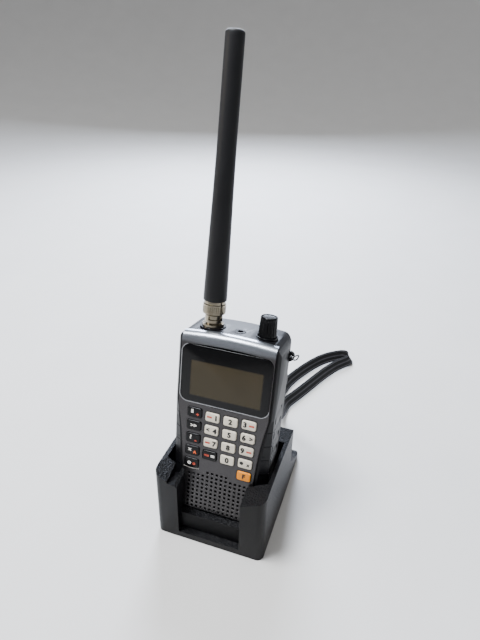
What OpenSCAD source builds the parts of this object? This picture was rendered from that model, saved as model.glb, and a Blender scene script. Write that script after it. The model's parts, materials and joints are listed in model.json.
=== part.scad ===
// Hand-held radio scanner standing in a desk stand.
// Millimetres, +Z up. The origin is on the desk under the stand, midway across it, and the front faces -Y.
// The radio is drawn upright in its own axes, x across, d into its depth and h up from its foot,
// and on_radio() leans it back into the stand.

/* [Radio body] */
// Width across the side grips
body_w = 67; // [60:0.5:82]
// Height at the middle of the arched top
body_h = 131; // [126:0.5:160]
// Depth from the face to the back
body_d = 34; // [31.5:0.5:42]
// Rise of the top from its ends to its middle
top_arch = 2; // [0.5:0.1:3]
// Radius of the two upper corners
top_corner_r = 7; // [5:0.5:9]
// Radius of the two lower corners
low_corner_r = 4; // [2:0.5:6]
// Radius of the long corners at the back
back_corner_r = 6; // [3:0.5:8]
// Wall of both case halves
wall = 2; // [1.6:0.1:2.4]
// Depth of the back cover
cover_d = 9.5; // [8.5:0.5:11]

/* [Face panel] */
// Thickness of the metal-finished face panel
panel_t = 1.6; // [1.2:0.1:2]
// Radius of the roll where the face turns over the top
roll_r = 5; // [3.5:0.25:6]
// How far back the roll runs along the top
roll_back = 6; // [5:0.25:6.25]
// Strip of black case left beside the panel at its widest
side_strip = 2.9; // [2.4:0.1:4]

/* [Display] */
// Width of the gloss display window
lens_w = 60; // [52:0.5:61]
// Height of the display window at its middle
lens_h = 42; // [36:0.5:43]
// From the top of the body down to the window
lens_drop = 7.8; // [7:0.1:9]
// Corner radius of the window
lens_r = 5; // [3:0.5:7]
// Width of the liquid crystal picture
screen_w = 49; // [42:0.5:50]
// Height of the liquid crystal picture
screen_h = 25.5; // [20:0.5:27]

/* [Keypad] */
// Spacing between the four columns of keys
column_pitch = 12.4; // [12:0.1:12.5]
// Spacing between the rows of keys
row_pitch = 9.5; // [9.2:0.1:9.6]
// Dip of the middle of each row below its ends
row_dip = 0.84; // [0:0.02:1.2]
// Width of a number key
key_w = 9.5; // [8:0.1:10.4]
// Height of a number key
key_h = 6.4; // [5.6:0.1:7.8]
// How much wider and taller the black keys are
dark_key_extra = 0.6; // [0:0.1:0.6]
// How far the keys stand out of the face
key_proud = 0.9; // [0.5:0.1:1.4]
// Travel of a key
key_travel = 0.8; // [0.5:0.05:1]
// Gap round each key
key_gap = 0.3; // [0.2:0.05:0.4]

/* [Speaker] */
// Diameter of the speaker
speaker_dia = 31; // [26:0.5:32]
// Side of one square hole in the grille
hole_w = 1.7; // [1.4:0.1:2.2]
// Spacing between the holes
hole_pitch = 3.3; // [3:0.05:3.4]

/* [Antenna] */
// Distance of the antenna to the left of the middle
antenna_x = 16; // [13:0.5:17]
// Diameter of the antenna at its foot
antenna_foot_dia = 15; // [12:0.25:16]
// Diameter of the antenna at its tip
antenna_tip_dia = 11.1; // [8:0.1:12]
// Length of the rubber-covered part
antenna_l = 152; // [100:1:200]
// Outer diameter of the knurled coupling ring
coupling_dia = 14.6; // [13.5:0.1:16]
// Outer diameter of the socket's barrel
barrel_dia = 9.6; // [9:0.1:10]

/* [Knob and sockets] */
// Distance of the knob to the right of the middle
knob_x = 20.3; // [17:0.1:21]
// Diameter of the knob at its foot
knob_foot_dia = 11.8; // [10:0.1:14]
// Diameter of the knob at its top
knob_top_dia = 10.8; // [8:0.1:12]
// Height of the knob
knob_h = 13.5; // [10:0.5:18]
// Diameter of the bore for an earphone plug
plug_bore_dia = 3.5; // [2.5:0.5:3.5]

/* [Power] */
// Diameter of a battery cell
cell_dia = 14.5; // [13.5:0.1:14.6]
// Length of a battery cell
cell_l = 50.5; // [44:0.5:51]

/* [Desk stand] */
// Backward lean of the radio in the stand, in degrees
lean = 11.8; // [6:0.1:15]
// Height of the side walls
stand_h = 57; // [48:0.5:68]
// Thickness of the side walls
stand_wall = 3; // [2.4:0.1:5]
// Play between the radio and each side wall
stand_slack = 2.2; // [1:0.1:4]
// From the front of the stand to the radio's foot
seat_setback = 9.9; // [9:0.1:12]
// Height of the radio's front foot above the desk
seat_h = 19.8; // [17.5:0.1:24]
// Thickness of the back wall at its top
stand_back_t = 16; // [10:0.5:20]
// Length of the foot behind the back wall
foot_l = 33; // [24:0.5:45]
// Width of the front opening between the two posts
notch_w = 44; // [38:0.5:47]

/* [Wrist strap] */
// Width of the woven band
band_w = 11; // [6:0.5:11]
// Thickness of the woven band
band_t = 1.8; // [1:0.1:1.8]
// Diameter of the thin tie cord
tie_dia = 1; // [0.8:0.1:1.4]

/* [Hidden] */
$fn = 48;

// Running and seating clearances
turn_fit = 0.05;
slide_fit = 0.2;
seat_fit = 0.1;

// Radio body
half_w = body_w / 2;
case_back = body_d - cover_d;
shell_front = panel_t + 1.6;
panel_half = half_w - side_strip;
roll_low = body_h - top_arch - roll_r;
arch_at = function(x) body_h - top_arch * pow(x / half_w, 2);
// Panel edge below the display: how far down, as a share of that height, and how far in from the side
panel_edge = [[0, 2.9], [0.14, 4.9], [0.26, 6.3], [0.36, 7.2], [0.56, 8.2], [0.77, 9.4], [1, 10.9]];
panel_low = 1;
shoulder_top_d = 3.5;
shoulder_low_d = 9;
lens_top = body_h - lens_drop;
lens_low = lens_top - lens_h;
lens_bow = 1.8;
lens_smile = 1.3;
lens_fit = 0.15;
screen_x = 0.5;
screen_mid = lens_low + 18;

// Keypad: name, column, row, kind
KEYS = [
  ["key_hold", 0, 0, "dark"], ["key_scan", 0, 1, "dark"], ["key_search", 0, 2, "dark"],
  ["key_lockout", 0, 3, "dark"], ["key_power", 0, 4, "dark"],
  ["key_1", 1, 0, "light"], ["key_4", 1, 1, "light"], ["key_7", 1, 2, "light"], ["key_enter", 1, 3, "dark"],
  ["key_2", 2, 0, "light"], ["key_5", 2, 1, "light"], ["key_8", 2, 2, "light"], ["key_0", 2, 3, "light"],
  ["key_3", 3, 0, "light"], ["key_6", 3, 1, "light"], ["key_9", 3, 2, "light"], ["key_dot", 3, 3, "light"],
  ["key_function", 3, 4, "accent"]
];
key_row_top = lens_low - 6.2;
key_corner_r = 1.3;
key_flange = 0.5;
key_flange_t = 0.75;
key_flange_d = shell_front + 0.05;
key_x = function(c) (c - 1.5) * column_pitch;
key_z = function(c, r) key_row_top - r * row_pitch - row_dip * (1 - pow(key_x(c) / key_x(3), 2));
mat_front = key_flange_d + key_flange_t + key_travel + 0.9;
mat_t = 0.8;
dome_dia = 6;
mat_low = key_z(3, 4) - key_h / 2 - 1.5;
board_front = mat_front + mat_t + 0.1;
board_t = 1.6;

// Speaker
speaker_mid = wall + 1.2 + speaker_dia / 2;
speaker_front = shell_front + 0.3;
speaker_d = 5;
grille_rows = 9;
grille_columns = 13;
grille_low = 3;
short_row_columns = 5;
grille_x = function(c, n) (c - (n - 1) / 2) * hole_pitch;
grille_z = function(r) grille_low + r * (hole_pitch - 0.1);
sound_half = (grille_columns - 1) / 2 * hole_pitch + hole_w / 2 + 0.6;
sound_top = grille_z(grille_rows - 1) + hole_w / 2 + 0.8;

// Antenna socket, coupling and antenna, up the radio's h axis
socket_d = 15;
socket_h = body_h - 1;
collar_dia = 17;
collar_t = 1.5;
flange_dia = 14;
flange_t = 1.7;
barrel_h = 8.6;
barrel_bore_dia = 8.2;
stud_dia = 2;
stud_reach = 0.7;
socket_low = socket_h - 9;
barrel_low = socket_h + collar_t + flange_t;
barrel_top = barrel_low + barrel_h;
stud_h = barrel_low + 4.2;
skirt_low = barrel_low + 1.1;
skirt_dia = barrel_dia + 2 * turn_fit + 1.6;
ring_low = barrel_top - 1.6;
ring_top = ring_low + 6;
neck_dia = 9;
neck_low = barrel_top + 0.3;
crown_t = 2;
rubber_low = ring_top + 0.2 + crown_t;
rubber_socket_dia = 5;
rubber_socket_l = 14;

// Knob and sockets
knob_d = 15;
knob_low = body_h - 0.3;
knob_collar_dia = knob_foot_dia + 2.2;
pot_w = 11;
pot_top = body_h - top_arch - wall - 0.6;
pot_h = 7;
shaft_dia = 4;
bushing_dia = 6.4;
phone_x = 3;
phone_d = 14;
phone_w = 7;
phone_nose_dia = 5.6;
phone_rim_dia = 7.6;
phone_depth = 14;
cable_socket_w = 7.6;
cable_socket_t = 3;
cable_socket_l = 6;
cable_socket_d = 12.5;
cable_socket_h = lens_low + 14;

// Back, batteries and door
door_w = 52;
door_low = 5;
door_h = 67;
door_t = 1.6;
door_travel = 4.5;
door_top = door_low + door_h;
latch_w = 12;
latch_h = 3;
latch_t = 0.9;
cell_low = 9.5;
cell_x = cell_dia / 2 + 0.6;
cell_d = body_d - door_t - 1 - cell_dia / 2;
contact_t = 0.4;
spring_wire = 0.8;
spring_l = 3.2;
bay_half = cell_x + cell_dia / 2 + 0.8;
bay_low = cell_low - spring_l - contact_t - 0.2;
bay_top = cell_low + cell_l + 1.6;
screw_head_dia = 4.6;
screw_shank_dia = 2.4;
screw_l = 14;
screw_head_t = 1.6;
screw_x = half_w - 6.5;
boss_rib = 1.6;
boss_dia = 5.4;
boss_clear = 1;
SCREW_HEIGHTS = [door_top + 6, pot_top - pot_h - boss_clear - boss_dia / 2];
boss_front = board_front + board_t + 0.2;
clip_hole_dia = 3;
clip_hole_depth = 5;
clip_hole_low = door_top + 14;
clip_hole_high = clip_hole_low + 24;
clip_boss_dia = 6;

// Grips
grip_front = 8;
grip_back = case_back - 0.8;
grip_low = 30;
grip_segments = 5;
grip_pitch = 10.4;
grip_h = grip_segments * grip_pitch + 1;
grip_t = 1.2;
grip_bulge = 0.7;
grip_face = half_w - 0.4;

// Stand
floor_clear = 0.02;
seat_y = -35 + seat_setback;
stand_front = -35;
stand_half = half_w + stand_slack + stand_wall;
cavity_half = half_w + stand_slack;
well_gap = 1.9;
cavity_front = seat_y - well_gap;
post_back = cavity_front + (stand_h - seat_h) * tan(lean);
cavity_back = seat_y + body_d / cos(lean) + (stand_h - seat_h) * tan(lean) + 5.3;
stand_back = cavity_back + stand_back_t;
foot_end = stand_back + foot_l;
foot_top = 22;
foot_tip_h = 5;
foot_tip_l = 6;
stand_corner_r = 5;
back_drop = 2;
lip_h = 5;
lip_recess = 5;
post_drop = 8;
post_dip = 0.18;
post_groove_w = 4.6;
post_groove_x = -26.8 - (half_w - 33.5);
post_groove_depth = 9;

// Strap: where it ties to the radio, then the route of the tie and of the band's middle line, on the desk's axes
lug_h = body_h - 15.5;
lug_d = body_d - 5.5;
lug_t = 3.4;
lug_r = 3.3;
lug_bore_x = 1.4;
lug_bore_dia = 2.4;
TIE_ROUTE = [
  [24, 54.6, 94.5], [24.8, 53, 100], [26.6, 49.4, 107], [29.2, 44, 114], [31.8, 38, 120.4], [33.9, 32, 125.2],
  [34.7, 28.6, 126.6], [34.9, 26.4, 127], [35, 23.6, 127.6], [35.7, 21.8, 128], [37, 21.2, 128.1],
  [38.3, 21.9, 127.9], [39, 23.7, 127.6], [39, 26.6, 126.9], [38.6, 30.6, 125.6], [37, 35.6, 122.6],
  [34.2, 41.4, 117.4], [30.4, 47.2, 110.6], [27.2, 51.8, 102.6], [25.6, 54.6, 94.5]
];
CLASP_ROUTE = [[24.8, 54.6, 94.5], [24.2, 56.4, 89.5], [23.6, 58.2, 84.5]];
BAND_ROUTE = [
  [25, 58.2, 84.5], [24.1, 63.5, 70], [22.5, 70.5, 54.5], [20.4, 79, 39.5], [17.8, 88.6, 26.5], [15.4, 98.6, 16.4],
  [13.8, 108.8, 9.6], [13.2, 118.6, 6.2], [14.2, 129, 5.6], [19.4, 141.6, 5.6], [25, 155, 5.6], [30.6, 169, 5.6],
  [36.4, 183, 5.6], [41.8, 194.8, 5.6], [47.4, 205, 5.6], [53, 213, 5.6], [57.2, 218.6, 5.6], [58.8, 223.6, 5.6],
  [56, 227.8, 5.6], [50.6, 228, 5.6], [44, 223.8, 5.6], [37, 217.8, 5.6], [30.4, 210, 5.6], [23.8, 199.4, 5.6],
  [17.6, 187, 5.6], [11.8, 173.4, 5.6], [7.6, 161, 5.6], [5.2, 148, 5.6], [4.6, 135, 6], [5.8, 122, 9.4],
  [8, 110.4, 15.4], [10.6, 99.8, 24], [13.4, 90, 34.6], [16.2, 80.6, 47], [18.9, 71, 62], [20.9, 64, 74.5],
  [22.2, 58.2, 84.5]
];

// ---- Shared shapes ----

// Places the radio's own axes in the stand
module on_radio() translate([0, seat_y, seat_h + floor_clear]) rotate([-lean, 0, 0]) children();

// A flat outline in x and h, made solid from depth d0 to depth d1
module slab(d0, d1) translate([0, d1, 0]) rotate([90, 0, 0]) linear_extrude(d1 - d0) children();

// An outline in x and d, made solid from height h0 to height h1
module pillar(h0, h1) translate([0, 0, h0]) linear_extrude(h1 - h0) children();

// A box given by its two corners
module block(low, high) translate(low) cube(high - low);

function arc(cx, cy, r, a0, a1, n = 6) =
  [for (i = [0 : n]) let (a = a0 + (a1 - a0) * i / n) [cx + r * cos(a), cy + r * sin(a)]];

// A rectangle with a bowed top and bottom and round corners, as a list of points
function bowed(w, low, top, low_bow, top_bow, low_r, top_r, n = 10) =
  let (
    top_at = function(x) top - top_bow * pow(2 * x / w, 2),
    low_at = function(x) low + low_bow * pow(2 * x / w, 2),
    tx = w / 2 - top_r,
    lx = w / 2 - low_r
  ) concat(
    [for (i = [1 : n - 1]) let (x = tx * (1 - 2 * i / n)) [x, top_at(x)]],
    arc(-tx, top_at(tx) - top_r, top_r, 90, 180),
    arc(-lx, low_at(lx) + low_r, low_r, 180, 270),
    [for (i = [1 : n - 1]) let (x = lx * (2 * i / n - 1)) [x, low_at(x)]],
    arc(lx, low_at(lx) + low_r, low_r, 270, 360),
    arc(tx, top_at(tx) - top_r, top_r, 0, 90)
  );

// A rectangle with true round corners
module rounded(w, h, r) {
  square([w - 2 * r, h], center = true);
  square([w, h - 2 * r], center = true);
  for (x = [-1, 1], y = [-1, 1]) translate([x * (w / 2 - r), y * (h / 2 - r)]) circle(r);
}

// Front outline of the body, drawn in by a margin
module front_outline(margin = 0)
  polygon(bowed(body_w - 2 * margin, margin, body_h - margin, 0, top_arch, low_corner_r, top_corner_r - margin / 2));

// Outline of the body seen from above: bevelled front corners and round back ones, drawn in by a margin
module plan_outline(margin = 0) {
  w = half_w - margin;
  r = back_corner_r - margin / 2;
  far = body_d - margin;
  polygon(concat(
    [[-w, shoulder_top_d], [-panel_half - (half_w - panel_half) * 0.1 + margin, margin]],
    [[panel_half + (half_w - panel_half) * 0.1 - margin, margin], [w, shoulder_top_d]],
    arc(w - r, far - r, r, 0, 90), arc(r - w, far - r, r, 90, 180)
  ));
}

module body_block(d0, d1, margin = 0) intersection() {
  pillar(margin, body_h + 1) plan_outline(margin);
  slab(d0, d1) front_outline(margin);
}

// Panel edge at step i: half width and height
function edge_point(i) = [half_w - panel_edge[i][1] - (side_strip - 2.9) * (1 - panel_edge[i][0]),
  (lens_low - 1) * (1 - panel_edge[i][0])];

// The slanting cut between the panel's edge and the side, on the right: one triangle at each step
module shoulder() {
  steps = len(panel_edge);
  ring = function(i) let (
    e = [edge_point(i)[0], 0],
    s = [half_w, shoulder_top_d + (shoulder_low_d - shoulder_top_d) * panel_edge[i][0]],
    over = (e - s) * 0.3,
    h = i == steps - 1 ? -1 : edge_point(i)[1]
  ) [[e[0] + over[0], e[1] + over[1], h], [half_w + 2, -2, h], [s[0] - over[0], s[1] - over[1], h]];
  points = [for (i = [0 : steps - 1]) each ring(i)];
  sides = [for (i = [0 : steps - 2], k = [0 : 2]) let (a = 3 * i + k, b = 3 * i + (k + 1) % 3)
    each [[a, b, b + 3], [a, b + 3, a + 3]]];
  last = 3 * (steps - 1);
  polyhedron(points, concat([[2, 1, 0]], sides, [[last, last + 1, last + 2]]));
}

module both_shoulders(step = 0) translate([0, step, 0]) {
  shoulder();
  mirror([1, 0, 0]) shoulder();
}

module key_outline(kind, gap = 0) {
  extra = kind == "dark" ? dark_key_extra : 0;
  rounded(key_w + extra + 2 * gap, key_h + extra + 2 * gap, key_corner_r + gap);
}

module each_key() for (k = KEYS) translate([key_x(k[1]), 0, key_z(k[1], k[2])]) {
  $kind = k[3];
  children();
}

// Mirrors what is drawn on the right to the left when side is -1
module on_side(side) mirror([side < 0 ? 1 : 0, 0, 0]) children();

module at_screws() for (side = [-1, 1], h = SCREW_HEIGHTS) on_side(side) translate([screw_x, 0, h]) children();

// A round bar along h
module post(x, d, dia, h0, h1) translate([x, d, h0]) cylinder(d = dia, h = h1 - h0);

// ---- Desk stand ----

module desk_stand() color("#1b1a1c") difference() {
  intersection() {
    translate([-stand_half, 0, 0]) rotate([90, 0, 90]) linear_extrude(2 * stand_half)
      polygon(concat(
        [[stand_front, 0], [foot_end, 0], [foot_end, foot_tip_h - 2.5]],
        arc(foot_end - 2.5, foot_tip_h - 2.5, 2.5, 0, 90, 4),
        [[foot_end - foot_tip_l, foot_tip_h], [stand_back, foot_top]],
        [[stand_back, stand_h - back_drop], [seat_y + 20, stand_h], [stand_front, stand_h]]
      ));
    linear_extrude(stand_h + 1) translate([0, (stand_front + foot_end) / 2])
      rounded(2 * stand_half, foot_end - stand_front, stand_corner_r);
  }
  // Well for the radio, with a floor square to its lean and a front along it, behind the two posts
  intersection() {
    block([-cavity_half, stand_front, -10], [cavity_half, cavity_back, stand_h + 1]);
    on_radio() block([-body_w, -well_gap, -floor_clear], [body_w, 3 * body_d, 2 * stand_h]);
  }
  // Front opening between the posts, with a set-back panel under the well's floor
  block([-notch_w / 2, cavity_front - 20, seat_h - 0.4], [notch_w / 2, post_back + 2, stand_h + 1]);
  block([-notch_w / 2, stand_front - 1, lip_h], [notch_w / 2, stand_front + lip_recess, stand_h + 1]);
  // Sloping tops of the two posts
  for (side = [-1, 1]) on_side(side) intersection() {
    translate([stand_half, cavity_front, stand_h])
      rotate([atan(post_dip), -atan(post_drop / (stand_half - notch_w / 2)), 0])
        block([-stand_half, -30, 0], [10, 10, 30]);
    block([0, stand_front - 1, 0], [2 * stand_half, post_back + 1, 2 * stand_h]);
  }
  // Groove through the left post
  translate([post_groove_x, cavity_front, stand_h - post_groove_depth]) rotate([-8, 0, 0])
    block([-post_groove_w / 2, -20, 0], [post_groove_w / 2, post_back - cavity_front + 2, 20]);
}

// ---- Case ----

module front_case() color("#17171a") on_radio() difference() {
  body_block(panel_t, case_back);
  both_shoulders();
  difference() {
    body_block(shell_front, case_back + 1, wall);
    both_shoulders(wall + 0.6);
    // Bosses for the four case screws, each with a rib to its side wall
    at_screws() {
      translate([0, boss_front, 0]) rotate([-90, 0, 0]) cylinder(d = boss_dia, h = body_d);
      block([0, boss_front, -boss_rib / 2], [half_w, body_d, boss_rib / 2]);
    }
  }
  at_screws() translate([0, boss_front + 2, 0]) rotate([-90, 0, 0]) cylinder(d = screw_shank_dia, h = body_d);
  // Room for the face panel's roll over the top
  block([-panel_half - 0.1, 0, roll_low - 0.1], [panel_half + 0.1, roll_back + 0.1, body_h + 1]);
  // Display, keys and sound
  slab(0, shell_front + 1) translate([screen_x, screen_mid]) square([screen_w + 2, screen_h + 2], center = true);
  each_key() slab(0, shell_front + 1) key_outline($kind, key_gap);
  slab(0, shell_front + 1) translate([-sound_half, grille_low - 1.6])
    square([2 * sound_half, sound_top - grille_low + 1.6]);
  slab(0, shell_front + 1) translate([-grille_x(short_row_columns, short_row_columns) - 1, sound_top - 1])
    square([2 * grille_x(short_row_columns, short_row_columns) + 2, hole_pitch + 0.6]);
  // Antenna socket, volume control, earphone and cable sockets
  post(-antenna_x, socket_d, collar_dia, socket_h, body_h + 1);
  post(-antenna_x, socket_d, 11, socket_low, body_h + 1);
  post(knob_x, knob_d, knob_collar_dia, body_h - 1.6, body_h + 1);
  post(knob_x, knob_d, bushing_dia, pot_top - 1, body_h + 1);
  post(phone_x, phone_d, phone_nose_dia, body_h - wall - 5, body_h + 1);
  post(phone_x, phone_d, phone_rim_dia, body_h - 0.6, body_h + 1);
  block([-half_w - 1, cable_socket_d - cable_socket_t / 2 - 0.3, cable_socket_h - cable_socket_w / 2 - 0.3],
    [-half_w + wall + 1, cable_socket_d + cable_socket_t / 2 + 0.3, cable_socket_h + cable_socket_w / 2 + 0.3]);
  // Seats of the side grips
  for (side = [-1, 1]) on_side(side)
    block([grip_face - grip_t, grip_front, grip_low], [half_w + 1, grip_back, grip_low + grip_h]);
}

module rolled_top() {
  n = 14;
  m = 8;
  section = function(x) let (top = arch_at(x)) concat(
    [[0, roll_low]], [for (p = arc(roll_r, top - roll_r, roll_r, 180, 90, m)) p], [[roll_back, top]],
    [[roll_back, top - panel_t]], [for (p = arc(roll_r, top - roll_r, roll_r - panel_t, 90, 180, m)) p],
    [[panel_t, roll_low]]
  );
  count = 2 * m + 6;
  points = [for (i = [0 : n]) let (x = panel_half * (2 * i / n - 1)) each [for (p = section(x)) [x, p[0], p[1]]]];
  skin = [for (i = [0 : n - 1], k = [0 : count - 1]) let (a = i * count + k, b = i * count + (k + 1) % count)
    each [[a, b, b + count], [a, b + count, a + count]]];
  ends = [for (k = [0 : m + 1]) let (a = k, b = k + 1, c = count - 2 - k, d = count - 1 - k)
    each (b == c ? [[a, d, b]] : [[a, d, c], [a, c, b]])];
  far = n * count;
  flip = [for (f = ends) [f[2] + far, f[1] + far, f[0] + far]];
  polyhedron(points, concat(skin, ends, flip));
}

module lens_outline(gap = 0) polygon(bowed(
  lens_w + 2 * gap, lens_low - gap, lens_top + gap, lens_smile, lens_bow, lens_r + gap, lens_r + gap));

module face_panel() color("#5b5d62") on_radio() difference() {
  union() {
    slab(0, panel_t) polygon(concat(
      [[-panel_half, roll_low]],
      [for (i = [0 : len(panel_edge) - 1]) [-edge_point(i)[0], max(panel_low, edge_point(i)[1])]],
      [for (i = [len(panel_edge) - 1 : -1 : 0]) [edge_point(i)[0], max(panel_low, edge_point(i)[1])]],
      [[panel_half, roll_low]]
    ));
    rolled_top();
  }
  slab(-1, panel_t + 1) lens_outline(lens_fit);
  each_key() slab(-1, panel_t + 1) key_outline($kind, key_gap);
  for (r = [0 : grille_rows - 1], c = [0 : grille_columns - 1])
    slab(-1, panel_t + 1) translate([grille_x(c, grille_columns), grille_z(r)]) square(hole_w, center = true);
  for (c = [0 : short_row_columns - 1])
    slab(-1, panel_t + 1) translate([grille_x(c, short_row_columns), grille_z(grille_rows)])
      square(hole_w, center = true);
}

module back_cover() color("#161618") on_radio() difference() {
  body_block(case_back, body_d);
  difference() {
    body_block(case_back - 1, body_d - wall, wall);
    at_screws() {
      translate([0, case_back - 2, 0]) rotate([-90, 0, 0]) cylinder(d = boss_dia + 1.6, h = body_d);
      block([0, case_back - 2, -boss_rib / 2], [half_w, body_d, boss_rib / 2]);
    }
    for (h = [clip_hole_low, clip_hole_high]) translate([0, body_d - clip_hole_depth - 1, h]) rotate([-90, 0, 0])
      cylinder(d = clip_boss_dia, h = body_d);
  }
  at_screws() rotate([-90, 0, 0]) {
    cylinder(d = screw_shank_dia, h = body_d + 1);
    translate([0, 0, body_d - screw_head_t - 1]) cylinder(d = screw_head_dia, h = body_d);
  }
  for (h = [clip_hole_low, clip_hole_high]) translate([0, body_d - clip_hole_depth, h]) rotate([-90, 0, 0])
    cylinder(d = clip_hole_dia, h = body_d);
  // Door seat, open at the foot, and the battery bay behind it
  block([-door_w / 2 - slide_fit, body_d - door_t, -1], [door_w / 2 + slide_fit, body_d + 1, door_top + slide_fit]);
  block([-bay_half, 0, bay_low], [bay_half, body_d, bay_top]);
  block([-latch_w / 2 - slide_fit, body_d - door_t - latch_t - slide_fit, door_top - latch_h - door_travel - slide_fit],
    [latch_w / 2 + slide_fit, body_d, door_top + slide_fit]);
}

module grip(side) color("#151515") on_radio() on_side(side) {
  depth = grip_back - grip_front - 2 * seat_fit;
  r = (pow(grip_pitch / 2 - 0.5, 2) + pow(grip_bulge, 2)) / (2 * grip_bulge);
  block([grip_face - grip_t, grip_front + seat_fit, grip_low + seat_fit],
    [grip_face, grip_back - seat_fit, grip_low + grip_h - seat_fit]);
  for (i = [0 : grip_segments - 1]) intersection() {
    translate([grip_face + grip_bulge - r, grip_front + seat_fit + 0.6, grip_low + 0.5 + (i + 0.5) * grip_pitch])
      rotate([-90, 0, 0]) cylinder(r = r, h = depth - 1.2, $fn = 64);
    block([grip_face - 0.5, grip_front, grip_low + 0.8 + i * grip_pitch],
      [grip_face + 2, grip_back, grip_low + 0.2 + (i + 1) * grip_pitch]);
  }
}
module left_grip() grip(-1);
module right_grip() grip(1);

// ---- Display ----

module display_window() color("#0a0a0c") on_radio() slab(0.1, panel_t) lens_outline();

module screen() color("#3b3323") on_radio()
  slab(shell_front - 0.4, shell_front + 1.6) translate([screen_x, screen_mid]) square([screen_w, screen_h], center = true);

module screen_frame() color("#d8d8d0") on_radio() difference() {
  slab(shell_front + 0.1, board_front - 0.1) translate([screen_x, screen_mid])
    square([screen_w + 5, screen_h + 5], center = true);
  slab(0, shell_front + 1.7) translate([screen_x, screen_mid])
    square([screen_w + 2 * seat_fit, screen_h + 2 * seat_fit], center = true);
}

// ---- Electronics ----

module main_board() color("#1f5a36") on_radio() difference() {
  slab(board_front, board_front + board_t)
    translate([0, (speaker_mid + roll_low) / 2])
      square([body_w - 2 * wall - 6, roll_low - speaker_mid - 4], center = true);
  slab(0, body_d) translate([0, speaker_mid]) circle(d = speaker_dia + 2);
  // Room round the antenna socket and the volume control
  block([-antenna_x - 8, 0, socket_low - 2], [-antenna_x + 8, body_d, body_h]);
  block([knob_x - pot_w / 2 - 1, 0, pot_top - pot_h - 2], [half_w, body_d, body_h]);
}

module keypad_mat() color("#8b8b88") on_radio() difference() {
  union() {
    slab(mat_front, mat_front + mat_t)
      translate([0, (mat_low + lens_low - 1) / 2])
        square([2 * key_x(3) + key_w + 3, lens_low - 1 - mat_low], center = true);
    each_key() translate([0, mat_front - 0.7, 0]) rotate([-90, 0, 0]) cylinder(d = dome_dia, h = 0.8);
  }
  slab(0, body_d) translate([0, speaker_mid]) circle(d = speaker_dia + 2);
}

module speaker() color("#2b2b2d") on_radio() translate([0, speaker_front, speaker_mid]) rotate([-90, 0, 0])
  difference() {
    union() {
      cylinder(d = speaker_dia, h = 1.6);
      cylinder(d1 = speaker_dia - 2, d2 = 18, h = speaker_d - 1);
      cylinder(d = 16, h = speaker_d);
    }
    translate([0, 0, -1]) cylinder(d = speaker_dia - 4, h = 1.6);
    translate([0, 0, 0.5]) cylinder(d1 = speaker_dia - 5, d2 = 9, h = 2.4);
  }

module speaker_mesh() color("#111111") on_radio() slab(panel_t + 0.1, panel_t + 0.5)
  translate([-sound_half + seat_fit, grille_low - 1.5])
    square([2 * (sound_half - seat_fit), sound_top - grille_low + 1.4]);

// ---- Antenna ----

module antenna_socket() color("#b9b3a4") on_radio() translate([-antenna_x, socket_d, 0]) difference() {
  union() {
    translate([0, 0, socket_low]) cylinder(d = 10.8, h = socket_h - socket_low + 0.1);
    translate([0, 0, socket_h]) cylinder(d = 12, h = collar_t);
    translate([0, 0, socket_h + collar_t]) cylinder(d = flange_dia, h = flange_t);
    translate([0, 0, barrel_low]) cylinder(d = barrel_dia, h = barrel_h);
    translate([-barrel_dia / 2 - stud_reach, 0, stud_h]) rotate([0, 90, 0])
      cylinder(d = stud_dia, h = barrel_dia + 2 * stud_reach);
  }
  difference() {
    translate([0, 0, barrel_low]) cylinder(d = barrel_bore_dia, h = barrel_h + 1);
    translate([0, 0, socket_low]) cylinder(d = 2.2, h = barrel_low + 3 - socket_low);
  }
}

module socket_collar() color("#141414") on_radio() translate([-antenna_x, socket_d, socket_h]) difference() {
  cylinder(d = collar_dia - 2 * seat_fit, h = collar_t);
  translate([0, 0, -1]) cylinder(d = 12, h = collar_t + 2);
}

// Knurled ring with a slotted skirt round the socket's barrel
module coupling_ring() color("#aaa493") on_radio() translate([-antenna_x, socket_d, 0]) difference() {
  union() {
    translate([0, 0, ring_low]) cylinder(d = coupling_dia, h = ring_top - ring_low);
    translate([0, 0, ring_low - 1.2]) cylinder(d1 = skirt_dia, d2 = coupling_dia - 0.8, h = 1.2);
    translate([0, 0, skirt_low]) cylinder(d = skirt_dia, h = ring_low - skirt_low);
  }
  translate([0, 0, skirt_low - 1]) cylinder(d = barrel_dia + 2 * turn_fit, h = neck_low - skirt_low + 1);
  translate([0, 0, skirt_low]) cylinder(d = neck_dia + 2 * turn_fit, h = ring_top);
  // Slots for the two studs: a way in and a quarter-turn track
  translate([0, 0, stud_h]) for (turn = [0, 180]) rotate([0, 0, turn]) {
    block([0, -stud_dia / 2 - 0.3, -10], [coupling_dia, stud_dia / 2 + 0.3, stud_dia / 2 + 0.3]);
    for (a = [15 : 15 : 90]) rotate([0, 0, -a])
      block([0, -stud_dia / 2 - 0.6, -stud_dia / 2 - 0.3], [coupling_dia, stud_dia / 2 + 0.6, stud_dia / 2 + 0.3]);
  }
}

module antenna_core() color("#c9b98a") on_radio() translate([-antenna_x, socket_d, 0]) {
  difference() {
    translate([0, 0, barrel_low + 3.6]) cylinder(d = barrel_bore_dia - 2 * turn_fit, h = neck_low - barrel_low - 3.5);
    translate([0, 0, barrel_low + 3]) cylinder(d = 6.4, h = 4.4);
  }
  translate([0, 0, barrel_low + 4.2]) cylinder(d = 1.4, h = 4);
  translate([0, 0, neck_low]) cylinder(d = neck_dia, h = ring_top + 0.2 - neck_low);
  translate([0, 0, ring_top + 0.2]) cylinder(d = coupling_dia - 1, h = crown_t);
  translate([0, 0, rubber_low]) cylinder(d = rubber_socket_dia, h = rubber_socket_l);
}

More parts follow.
